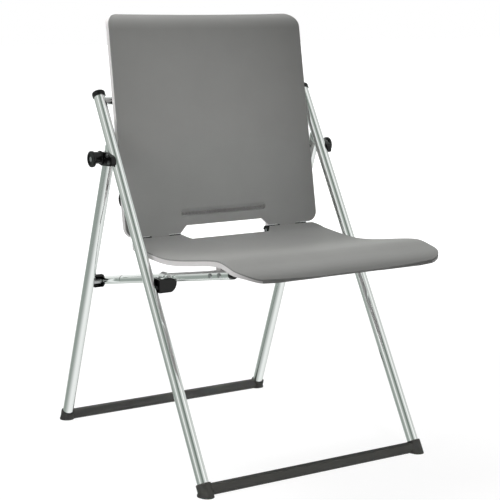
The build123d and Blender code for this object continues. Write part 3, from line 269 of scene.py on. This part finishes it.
class Finish(Enum):
    """The chair's finishes, by the material slot that they dress."""

    CHROME = "chrome_tube"
    STEEL = "steel_parts"
    GREY = "grey_panel"
    PALE = "pale_shell"
    BLACK = "black_plastic"
    FOOT = "foot_plastic"
    RUBBER = "rubber_pad"


RECIPES: dict[Finish, ChromePlate | ZincSteel | MouldedPlastic] = {
    Finish.CHROME: ChromePlate(),
    Finish.STEEL: ZincSteel(),
    # Mid grey seat and back, nearly matt, with a soft sheen at a low angle
    Finish.GREY: MouldedPlastic("moulded grey polypropylene", "949492", "8b8b89", 0.55),
    # Warm pale rims, a little glossier than the panels
    Finish.PALE: MouldedPlastic("moulded pale grey polypropylene", "dfdcdc", "d3d0d0", 0.42),
    # Deep black fittings from a polished mould, with small sharp highlights
    Finish.BLACK: MouldedPlastic("moulded black nylon", "0b0b0b", "131312", 0.13, grain_mm=0.7,
                                 grain_depth_mm=0.002, specular=0.35),
    # Charcoal foot bars that scuffing keeps flat and dull
    Finish.FOOT: MouldedPlastic("moulded dark grey polypropylene", "3b3b39", "454542", 0.6,
                                specular=0.1),
    # Soft black pads without a shine
    Finish.RUBBER: MouldedPlastic("black rubber", "1d1d1e", "252526", 0.75, grain_mm=0.5,
                                  specular=0.3),
}


def finish_of(node: str) -> Finish:
    """Give the finish that the record names for a CAD node.

    Args:
        node: the CAD node's name.

    Returns:
        Its finish.
    """
    rows = frame["record"]["subparts"]
    return next(Finish(row["material_slot"]) for row in rows if row["node"] == node)


@dataclass(frozen=True)
class Wardrobe:
    """Builds each finish once and puts it on pieces."""

    built: dict[Finish, bpy.types.Material]

    @classmethod
    def open(cls) -> "Wardrobe":
        """Build every finish."""
        return cls({finish: RECIPES[finish].build() for finish in Finish})

    def put_on(self, piece: bpy.types.Object, finish: Finish) -> None:
        """Give a piece one finish all over."""
        piece.data.materials.clear()
        piece.data.materials.append(self.built[finish])

    def dress_frame(self) -> None:
        """Put each CAD node's own finish on it."""
        for name, node in frame["nodes"].items():
            self.put_on(node, finish_of(name))


# ---------------------------------------------------------------- making pieces
@dataclass(frozen=True)
class Polish:
    """How a piece's surface and edges are finished after it is made."""

    edge: float                      # mm, radius of its softened edges
    segments: int = 2
    sharp: float = 28.0              # degrees, above which an edge is an edge and not a curve


class Edges(Enum):
    """Edge finishes of the chair's trades."""

    DRAWN = Polish(0.35)             # tube ends and holes after tumbling
    TURNED = Polish(0.15)            # screws, bolts and pins
    MOULDED = Polish(0.5, 3)         # thick mouldings
    PANEL = Polish(0.4, 2, 35.0)     # thin panels and carriers
    SCOOPED = Polish(0.25, 2, 20.0)  # a thin panel whose shallow groove stays crisp
    RUBBER = Polish(0.4)             # soft pads


@dataclass(frozen=True)
class Workshop:
    """Makes the chair's shown pieces from its solids."""

    wardrobe: Wardrobe

    def merged_copy(self, node: str) -> bmesh.types.BMesh:
        """Copy a solid's loose triangles and join them.

        Args:
            node: the CAD node's name.

        Returns:
            The joined shape, with its faces outwards.
        """
        shape = bmesh.new()
        shape.from_mesh(frame["nodes"][node].data)
        bmesh.ops.remove_doubles(shape, verts=shape.verts, dist=WELD)
        bmesh.ops.dissolve_degenerate(shape, edges=shape.edges, dist=WELD)
        bmesh.ops.recalc_face_normals(shape, faces=shape.faces)
        return shape

    def smooth_piece(self, shape: bmesh.types.BMesh, name: str, sharp: float) -> bpy.types.Object:
        """Turn a shape into a piece that is smooth up to its real edges.

        Args:
            shape: the shape, which is freed.
            name: the piece's name.
            sharp: degrees, above which an edge is an edge and not a curve.

        Returns:
            The piece.
        """
        for face in shape.faces:
            face.smooth = True
        for edge in shape.edges:
            shared = len(edge.link_faces) == 2
            edge.smooth = shared and edge.calc_face_angle(0.0) < math.radians(sharp)
        mesh = bpy.data.meshes.new(name)
        shape.to_mesh(mesh)
        shape.free()
        if "custom_normal" in mesh.attributes:       # the solid's own shading, which no longer fits
            mesh.attributes.remove(mesh.attributes["custom_normal"])
        piece = bpy.data.objects.new(name, mesh)
        bpy.context.scene.collection.objects.link(piece)
        return piece

    def soften(self, piece: bpy.types.Object, polish: Polish) -> None:
        """Round a piece's real edges a little.

        Args:
            piece: the piece.
            polish: how its edges are finished.
        """
        bevel = piece.modifiers.new("softened edges", "BEVEL")
        bevel.width = polish.edge * MM
        bevel.segments = polish.segments
        bevel.profile = 0.5
        bevel.limit_method = "ANGLE"
        bevel.angle_limit = math.radians(polish.sharp)
        bevel.harden_normals = True

    def finish(self, node: str, edges: Edges, reshape: Reshape | None = None,
               dress: Finish | None = None) -> bpy.types.Object:
        """Make the shown piece for one solid: its shape, smooth, with softened edges.

        Args:
            node: the CAD node's name.
            edges: how its edges are finished.
            reshape: a change to the joined shape before it is smoothed.
            dress: its finish, where this isn't the one that the record names.

        Returns:
            The new piece, which stands for the node.
        """
        shape = self.merged_copy(node)
        if reshape is not None:
            reshape(shape)
        piece = self.smooth_piece(shape, f"{node}_finished", edges.value.sharp)
        self.soften(piece, edges.value)
        finish = dress or finish_of(node)
        self.wardrobe.put_on(piece, finish)
        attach(piece, frame["nodes"][node]["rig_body"])
        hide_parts(node)
        return piece


def pair(kind: str) -> tuple[str, str]:
    """Name the two nodes of a piece that each side has."""
    return f"{kind}_left", f"{kind}_right"


def cut_across(shape: bmesh.types.BMesh, place: Point, normal: Point,
               drop_beyond: bool = False) -> None:
    """Cut a shape along a plane.

    Args:
        shape: the shape.
        place: a point on the plane.
        normal: the plane's normal.
        drop_beyond: whether what lies beyond the plane is removed.
    """
    bmesh.ops.bisect_plane(shape, geom=[*shape.verts, *shape.edges, *shape.faces], dist=CUT,
                           plane_co=place, plane_no=normal, clear_outer=drop_beyond)


@dataclass(frozen=True)
class SubAssembly:
    """Pieces of one moving body, by how their edges are finished."""

    workshop: Workshop
    drawn: tuple[str, ...] = ()
    moulded: tuple[str, ...] = ()
    turned: tuple[str, ...] = ()

    def build(self) -> list[bpy.types.Object]:
        """Make the pieces that keep their solid's shape and finish.

        Returns:
            The pieces.
        """
        trades = {Edges.DRAWN: self.drawn, Edges.MOULDED: self.moulded, Edges.TURNED: self.turned}
        return [self.workshop.finish(node, edges) for edges, nodes in trades.items() for node in nodes]


# ---------------------------------------------------------------- frames
@dataclass(frozen=True)
class FrontFrame(SubAssembly):
    """The front legs with their cross tube and foot bar, and the pivots that they carry."""

    drawn: tuple[str, ...] = (*pair("front_leg"), "top_cross_tube")
    moulded: tuple[str, ...] = (*pair("front_leg_cap"), *pair("pivot_plate"), *pair("link_knob"),
                                "front_foot_bar")
    turned: tuple[str, ...] = (*pair("pivot_bolt"), *pair("seat_pivot_stud"), "pivot_plate_rivets",
                               "front_bar_core")


@dataclass(frozen=True)
class RearFrame(SubAssembly):
    """The rear legs with their foot bar, their bushes and the pins that carry the seat."""

    drawn: tuple[str, ...] = pair("rear_leg")
    moulded: tuple[str, ...] = (*pair("pivot_bush"), "rear_foot_bar")
    turned: tuple[str, ...] = (*pair("lock_pin"), "rear_bar_core")
    stops: tuple[str, ...] = pair("rear_leg_stop")

    def build(self) -> list[bpy.types.Object]:
        """Make the rear frame's pieces, with the legs' ends as bright as the legs.

        Returns:
            The pieces.
        """
        ends = [self.workshop.finish(node, Edges.MOULDED, dress=Finish.CHROME) for node in self.stops]
        return [*super().build(), *ends]


# ---------------------------------------------------------------- seat
@dataclass(frozen=True)
class Seat(SubAssembly):
    """The seat on its rails: grey panel on its pale carrier, whose nose rolls over the front edge."""

    drawn: tuple[str, ...] = (*pair("rail_strap"), "seat_cross_tube")
    moulded: tuple[str, ...] = (*pair("rail_hook"), *pair("rail_plug"), *pair("pivot_saddle"),
                                *pair("seat_hinge"))
    turned: tuple[str, ...] = (*pair("hinge_pin"), "hook_screws", "strap_screws", "rail_screws",
                               "seat_hinge_screws")
    rails: tuple[str, ...] = pair("seat_rail")
    nose_reach: float = 90.0         # mm, how far behind the nose the roll starts
    nose_rise: float = 3.4           # how far the surface is raised at most
    nose_power: int = 4              # how late the roll comes
    nose_scale: float = 12.2         # brings the roll's highest point to nose_rise
    nose_steps: int = 30
    lip_half: float = 186.0          # half width of the panel's lip over the carrier's front edge
    lip_out: float = 0.3             # how far the lip stands proud of the carrier
    lip_wall: float = 0.48
    lip_reach: float = 12.0          # how far behind the nose the carrier's front edge is looked for
    lip_facing: float = -0.5         # Y of the normal, below which a face counts as looking forward
    rail_half: float = 208.0         # middle of the chair to each rail
    rail_rise: float = 10.202        # degrees
    rail_cut: float = 90.0           # mm, where the rounded rear end starts, from the hook's pin
    rail_segments: int = 64
    rail_rings: tuple[Point, ...] = (    # from the pin along the rail, half width, half height in mm
        (-3.4, 2.2, 4.6), (-3.0, 3.4, 6.3), (-2.0, 4.5, 7.7), (-0.4, 5.0, 8.35), (2.0, 5.2, 8.5),
        (8.0, 5.3, 8.5), (11.0, 6.1, 8.5), (15.0, 7.7, 8.5), (19.0, 8.35, 8.5), (23.0, 8.5, 8.5),
        (90.0, 8.5, 8.5),
    )

    def roll_nose(self, shape: bmesh.types.BMesh) -> None:
        """Let the front slope stay flat for longer and then roll over.

        Args:
            shape: the panel or the carrier.
        """
        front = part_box("seat_panel")[0][1]
        reach = self.nose_reach * MM
        for step in range(1, self.nose_steps + 1):
            cut_across(shape, (0, front + reach * step / self.nose_steps, 0), (0, 1, 0))
        for vert in shape.verts:
            along = 1 - (vert.co.y - front) / reach
            if along > 0:
                vert.co.z += (self.nose_rise * MM * self.nose_scale
                              * along ** self.nose_power * (1 - along))

    def carrier_front(self) -> bmesh.types.BMesh:
        """Copy the rolled carrier's front face, between the lip's ends.

        Returns:
            The face, as an open skin.
        """
        skin = self.workshop.merged_copy("seat_shell")
        for side in (-1, 1):
            cut_across(skin, (side * self.lip_half * MM, 0, 0), (1, 0, 0))
        self.roll_nose(skin)
        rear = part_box("seat_panel")[0][1] + self.lip_reach * MM
        spare = [face for face in skin.faces
                 if face.normal.y > self.lip_facing or face.calc_center_median().y > rear
                 or abs(face.calc_center_median().x) > self.lip_half * MM]
        bmesh.ops.delete(skin, geom=spare, context="FACES")
        return skin

    def turn_lip(self, shape: bmesh.types.BMesh) -> None:
        """Roll the panel's nose and turn it down over the carrier's front edge.

        Args:
            shape: the panel.
        """
        self.roll_nose(shape)
        skin = self.carrier_front()
        for vert in skin.verts:
            vert.co.y -= self.lip_out * MM
        bmesh.ops.solidify(skin, geom=skin.faces, thickness=self.lip_wall * MM)
        lip = bpy.data.meshes.new("lip")
        skin.to_mesh(lip)
        skin.free()
        shape.from_mesh(lip)
        bpy.data.meshes.remove(lip)

    def close_rail(self, shape: bmesh.types.BMesh) -> None:
        """Give a rail its rounded rear end, narrowed where it enters the hook.

        Args:
            shape: the rail.
        """
        side = 1 if sum(vert.co.x for vert in shape.verts) > 0 else -1
        pin_low, pin_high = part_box("lock_pin_right")
        pin_y, pin_z = (pin_low[1] + pin_high[1]) / 2, (pin_low[2] + pin_high[2]) / 2
        cut_across(shape, (0, pin_y - self.rail_cut * MM, 0), (0, 1, 0), drop_beyond=True)
        rise = math.radians(self.rail_rise)
        last = None
        for along, half_width, half_height in self.rail_rings:
            centre = Vector((side * self.rail_half * MM,
                             pin_y - along * MM * math.cos(rise), pin_z + along * MM * math.sin(rise)))
            place = (Matrix.Translation(centre) @ Matrix.Rotation(math.radians(90) - rise, 4, "X")
                     @ Matrix.Diagonal((half_width * MM, half_height * MM, 1, 1)))
            ring = bmesh.ops.create_circle(shape, cap_ends=last is None, segments=self.rail_segments,
                                           radius=1, matrix=place)
            edges = list({edge for vert in ring["verts"] for edge in vert.link_edges})
            if last is not None:
                bmesh.ops.bridge_loops(shape, edges=last + edges)
            last = edges
        bmesh.ops.recalc_face_normals(shape, faces=shape.faces)

    def build(self) -> list[bpy.types.Object]:
        """Make the seat's pieces.

        Returns:
            The pieces.
        """
        rails = [self.workshop.finish(node, Edges.DRAWN, self.close_rail) for node in self.rails]
        panel = self.workshop.finish("seat_panel", Edges.PANEL, self.turn_lip)
        carrier = self.workshop.finish("seat_shell", Edges.PANEL, self.roll_nose)
        return [*super().build(), *rails, panel, carrier]


# ---------------------------------------------------------------- backrest
@dataclass(frozen=True)
class Backrest(SubAssembly):
    """The backrest: grey panel with a scooped groove, on its pale carrier."""

    moulded: tuple[str, ...] = (*pair("back_hinge"), *pair("cross_tube_guide"))
    turned: tuple[str, ...] = ("back_screws",)
    recline: float = 9.203           # degrees
    groove_low: float = 30.0         # mm above the hinges, where the groove is looked for
    groove_high: float = 66.0
    groove_half: float = 130.0       # half width within which it is looked for
    groove_depth: float = 1.7        # of the solid's groove
    groove_slack: float = 0.15       # how far from that depth its floor may lie
    groove_sink: float = 2.5         # how much deeper the groove is along its lower edge
    wall_run: float = 3.0            # width of the sloping wall along its lower edge

    def scoop_groove(self, shape: bmesh.types.BMesh) -> None:
        """Let the groove's floor sink gently from its upper edge and rise steeply at its lower one.

        Args:
            shape: the panel.
        """
        lean = math.radians(self.recline)
        outward = Vector((0, -math.cos(lean), math.sin(lean)))
        upward = Vector((0, math.sin(lean), math.cos(lean)))
        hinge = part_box("hinge_pin_right")[0][2]
        near = [vert for vert in shape.verts
                if self.groove_low * MM < vert.co.z - hinge < self.groove_high * MM
                and abs(vert.co.x) < self.groove_half * MM]
        level = max(vert.co.dot(outward) for vert in near) - self.groove_depth * MM
        floor = [vert for vert in near
                 if abs(vert.co.dot(outward) - level) < self.groove_slack * MM]
        heights = [vert.co.dot(upward) for vert in floor]
        middle, half = (max(heights) + min(heights)) / 2, (max(heights) - min(heights)) / 2
        for vert in floor:
            share = (vert.co.dot(upward) - middle) / half        # -1 at the lower edge, 1 at the upper
            out = self.groove_depth * (1 + share) / 2 - self.groove_sink * (1 - share) / 2
            vert.co += outward * MM * out
            vert.co += upward * self.wall_run * MM * (1 - share) / 2

    def build(self) -> list[bpy.types.Object]:
        """Make the backrest's pieces.

        Returns:
            The pieces.
        """
        return [*super().build(),
                self.workshop.finish("back_buffers", Edges.RUBBER),
                self.workshop.finish("backrest_shell", Edges.PANEL),
                self.workshop.finish("backrest_panel", Edges.SCOOPED, self.scoop_groove)]


# ---------------------------------------------------------------- studio
@dataclass(frozen=True)
class Camera:
    """The camera, placed in mm. Its azimuth goes from +Y towards +X, and its angles are in degrees."""

    place: Point = (-1468.4, -2335.9, 858.6)
    azimuth: float = 32.32
    pitch: float = -9.62
    roll: float = -0.10
    lens: float = 101.73             # mm
    sensor: float = 36.0             # mm
    clip_end: float = 60.0           # m

    def build(self) -> None:
        """Place the camera."""
        camera = bpy.data.cameras.new("camera")
        camera.lens = self.lens
        camera.sensor_width = self.sensor
        camera.clip_end = self.clip_end
        holder = bpy.data.objects.new("camera", camera)
        turn = Matrix.Rotation(math.radians(-self.azimuth), 4, "Z")
        tip = Matrix.Rotation(math.radians(90 + self.pitch), 4, "X")
        roll = Matrix.Rotation(math.radians(self.roll), 4, "Z")
        holder.matrix_world = Matrix.Translation(Vector(self.place) * MM) @ turn @ tip @ roll
        bpy.context.scene.collection.objects.link(holder)
        bpy.context.scene.camera = holder


@dataclass(frozen=True)
class Floor:
    """White paper, which still takes the chair's soft shadow. Its sizes are in m."""

    size: float = 60.0
    colour: str = "b4b4b4"
    roughness: float = 0.9
    glow: float = 0.7                # share of the floor's white that no shadow darkens
    white: float = 1.3               # strength of that white
    fade_from: float = 0.9           # from the chair's middle, where the glow starts to rise
    fade_to: float = 2.2             # and where the floor is all white

    def dress(self) -> bpy.types.Material:
        """Build the paper.

        Returns:
            The material.
        """
        material, tree, shader = new_material("white paper floor")
        shader.inputs["Base Color"].default_value = linear(self.colour)
        shader.inputs["Roughness"].default_value = self.roughness
        shader.inputs["Specular IOR Level"].default_value = 0.0
        glow = add_node(tree, "ShaderNodeEmission",
                        values={"Color": linear("ffffff"), "Strength": self.white})
        coords = add_node(tree, "ShaderNodeTexCoord")
        reach = add_node(tree, "ShaderNodeVectorMath", settings={"operation": "LENGTH"},
                         links={0: coords.outputs["Object"]})
        fade = add_node(tree, "ShaderNodeMapRange",
                        values={"From Min": self.fade_from, "From Max": self.fade_to,
                                "To Min": self.glow, "To Max": 1.0},
                        links={"Value": reach.outputs["Value"]})
        path = add_node(tree, "ShaderNodeLightPath")
        share = add_node(tree, "ShaderNodeMath", settings={"operation": "MULTIPLY"},
                         links={0: path.outputs["Is Camera Ray"], 1: fade.outputs["Result"]})
        mixed = add_node(tree, "ShaderNodeMixShader",
                         links={0: share.outputs[0], 1: shader.outputs[0], 2: glow.outputs[0]})
        output = next(node for node in tree.nodes if node.type == "OUTPUT_MATERIAL")
        tree.links.new(mixed.outputs[0], output.inputs["Surface"])
        return material

    def build(self) -> None:
        """Lay the floor."""
        mesh = bpy.data.meshes.new("floor")
        shape = bmesh.new()
        bmesh.ops.create_grid(shape, x_segments=1, y_segments=1, size=self.size / 2)
        shape.to_mesh(mesh)
        shape.free()
        mesh.materials.append(self.dress())
        floor = bpy.data.objects.new("floor", mesh)
        bpy.context.scene.collection.objects.link(floor)
        floor.visible_glossy = False         # bright metal mirrors the studio's walls below it too


@dataclass(frozen=True)
class Surroundings:
    """Soft fill, a white backdrop, and walls that bright metal mirrors.

    The spans are of the Y or the Z of a ray's direction, whose length is 1. A wall's stops are
    bearings from +Y towards +X in degrees, each with the wall's colour.
    """

    fill: float = 0.3                # soft light from behind
    fill_front: float = 0.02         # and from in front
    fill_span: tuple[float, float] = (-0.9, 0.7)         # Y, from front to behind
    horizon_span: tuple[float, float] = (-0.1, 0.14)     # Z, from the lower walls to the upper
    paper_span: tuple[float, float] = (-0.5, -0.85)      # Z, from the lower walls to the floor
    paper: str = "eceeed"            # the floor as bright metal mirrors it
    upper_walls: Stops = (
        (-180, "868e88"), (-152, "6e7872"), (-137, "8f9791"), (-119, "b4b9b5"), (-108, "bfc3c0"),
        (-102, "f2f4f2"), (-95, "f0f2f0"), (-88, "c6cac7"), (-79, "bcc1bd"), (-50, "bcc1bd"),
        (-15, "d2d6d3"), (0, "f0f2f0"), (20, "f6f8f6"), (42, "c8ccc9"), (65, "a6aca8"),
        (88, "d8dbd9"), (113, "b9bdba"), (126, "f4f5f4"), (140, "f8f9f8"), (161, "ccd0cd"),
    )
    lower_walls: Stops = (
        (-180, "f0f2f0"), (-165, "dcdfdc"), (-150, "a2aaa5"), (-121, "6c7670"), (-97, "848c87"),
        (-74, "959d98"), (-40, "909893"), (-22, "9aa29d"), (-8, "b9bfbb"), (10, "cfd3d0"),
        (32, "b4bab6"), (50, "c8ccc9"), (78, "d4d7d5"), (116, "dee1df"), (149, "f2f4f2"),
    )

    def wall_ramp(self, tree: bpy.types.NodeTree, bearing: bpy.types.NodeSocket,
                  stops: Stops) -> bpy.types.NodeSocket:
        """Colour a wall by compass bearing.

        Args:
            tree: the world's node tree.
            bearing: the bearing, from 0 at -180 degrees to 1 at 180.
            stops: bearing in degrees from +Y towards +X, and its colour.

        Returns:
            The colour output.
        """
        node = add_node(tree, "ShaderNodeValToRGB", links={"Fac": bearing})
        ramp = node.color_ramp
        while len(ramp.elements) > 1:
            ramp.elements.remove(ramp.elements[-1])
        for number, (degrees, colour) in enumerate(stops):
            place = (degrees + 180) / 360
            stop = ramp.elements[0] if number == 0 else ramp.elements.new(place)
            stop.position = place
            stop.color = linear(colour)
        return node.outputs["Color"]

    def mirrored_walls(self, tree: bpy.types.NodeTree, split: bpy.types.Node) -> bpy.types.NodeSocket:
        """Colour what bright metal mirrors: upper and lower walls, and the floor's paper.

        Args:
            tree: the world's node tree.
            split: the node that gives a ray's direction as X, Y and Z.

        Returns:
            The colour output.
        """
        turn = add_node(tree, "ShaderNodeMath", settings={"operation": "ARCTAN2"},
                        links={0: split.outputs["X"], 1: split.outputs["Y"]})
        bearing = add_node(tree, "ShaderNodeMapRange",
                           values={"From Min": -math.pi, "From Max": math.pi},
                           links={"Value": turn.outputs[0]}).outputs["Result"]
        rise = add_node(tree, "ShaderNodeMapRange",
                        values={"From Min": self.horizon_span[0], "From Max": self.horizon_span[1]},
                        links={"Value": split.outputs["Z"]})
        walls = add_node(tree, "ShaderNodeMix", settings={"data_type": "RGBA"},
                         links={0: rise.outputs["Result"],
                                6: self.wall_ramp(tree, bearing, self.lower_walls),
                                7: self.wall_ramp(tree, bearing, self.upper_walls)})
        steep = add_node(tree, "ShaderNodeMapRange",
                         values={"From Min": self.paper_span[0], "From Max": self.paper_span[1]},
                         links={"Value": split.outputs["Z"]})
        walls = add_node(tree, "ShaderNodeMix", settings={"data_type": "RGBA"},
                         values={7: linear(self.paper)},
                         links={0: steep.outputs["Result"], 6: walls.outputs[2]})
        return walls.outputs[2]

    def build(self) -> None:
        """Build the world: walls that metal mirrors, the backdrop, and the fill for the rest."""
        world = bpy.data.worlds.new("studio")
        bpy.context.scene.world = world
        world.use_nodes = True
        tree = world.node_tree
        tree.nodes.clear()
        direction = add_node(tree, "ShaderNodeTexCoord")
        split = add_node(tree, "ShaderNodeSeparateXYZ", links={0: direction.outputs["Generated"]})
        depth = add_node(tree, "ShaderNodeMapRange",
                         values={"From Min": self.fill_span[0], "From Max": self.fill_span[1],
                                 "To Min": self.fill_front, "To Max": self.fill},
                         links={"Value": split.outputs["Y"]})
        fill = add_node(tree, "ShaderNodeBackground", values={"Color": linear("ffffff")},
                        links={"Strength": depth.outputs["Result"]})
        mirrored = add_node(tree, "ShaderNodeBackground", values={"Strength": 1.0},
                            links={"Color": self.mirrored_walls(tree, split)})
        backdrop = add_node(tree, "ShaderNodeBackground",
                            values={"Color": linear("ffffff"), "Strength": 1.0})
        path = add_node(tree, "ShaderNodeLightPath")
        metal = add_node(tree, "ShaderNodeMixShader",
                         links={0: path.outputs["Is Glossy Ray"], 1: fill.outputs[0],
                                2: mirrored.outputs[0]})
        seen = add_node(tree, "ShaderNodeMixShader",
                        links={0: path.outputs["Is Camera Ray"], 1: metal.outputs[0],
                               2: backdrop.outputs[0]})
        add_node(tree, "ShaderNodeOutputWorld", links={"Surface": seen.outputs[0]})


@dataclass(frozen=True)
class Lamp:
    """A soft studio lamp. Its places and sizes are in m and its power in W."""

    name: str
    place: Point
    aim: Point
    size: tuple[float, float]
    watts: float
    spread: float = 180.0            # degrees, narrower where a grid keeps its light off the rest
    glints: bool = False             # whether glossy plastic and metal mirror it

    def build(self) -> None:
        """Hang the lamp."""
        light = bpy.data.lights.new(self.name, "AREA")
        light.shape = "RECTANGLE"
        light.size, light.size_y = self.size
        light.energy = self.watts
        light.spread = math.radians(self.spread)
        lamp = bpy.data.objects.new(self.name, light)
        lamp.visible_glossy = self.glints
        turn = (Vector(self.aim) - Vector(self.place)).to_track_quat("-Z", "Y")
        lamp.matrix_world = Matrix.Translation(Vector(self.place)) @ turn.to_matrix().to_4x4()
        bpy.context.scene.collection.objects.link(lamp)


@dataclass(frozen=True)
class Studio:
    """The camera, the floor, what surrounds them and the lamps."""

    camera: Camera = Camera()
    floor: Floor = Floor()
    surroundings: Surroundings = Surroundings()
    lamps: tuple[Lamp, ...] = (
        Lamp("top", (-0.7, 1.05, 3.1), (0.0, -0.1, 0.4), (1.8, 1.8), 98.0),
        Lamp("left", (-3.0, -0.5, 0.8), (0.0, 0.0, 0.4), (1.2, 1.2), 30.0),
        Lamp("gridded", (-1.1, -2.4, 2.4), (-0.04, 0.1, 0.62), (0.5, 0.5), 0.42, 9.0),
        Lamp("low", (-0.8, -3.0, 0.5), (0.0, 0.0, 0.02), (0.8, 0.15), 0.6, 7.0),
        Lamp("card", (1.75, -2.6, 1.1), (0.0, 0.0, 0.3), (0.8, 1.0), 3.0, glints=True),
    )

    def build(self) -> None:
        """Build the whole studio."""
        for item in (self.camera, self.floor, self.surroundings, *self.lamps):
            item.build()
        bpy.context.scene.view_settings.view_transform = "Standard"


def main() -> None:
    """Make and dress the chair's sub-assemblies, then set up the studio."""
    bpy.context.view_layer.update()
    wardrobe = Wardrobe.open()
    wardrobe.dress_frame()
    workshop = Workshop(wardrobe)
    for part in (FrontFrame(workshop), RearFrame(workshop), Seat(workshop), Backrest(workshop)):
        for piece in part.build():
            LOG.info("%s: %s, %d faces", type(part).__name__, piece.name, len(piece.data.polygons))
    Studio().build()
    LOG.info("studio ready")


if __name__ == "__main__":
    main()
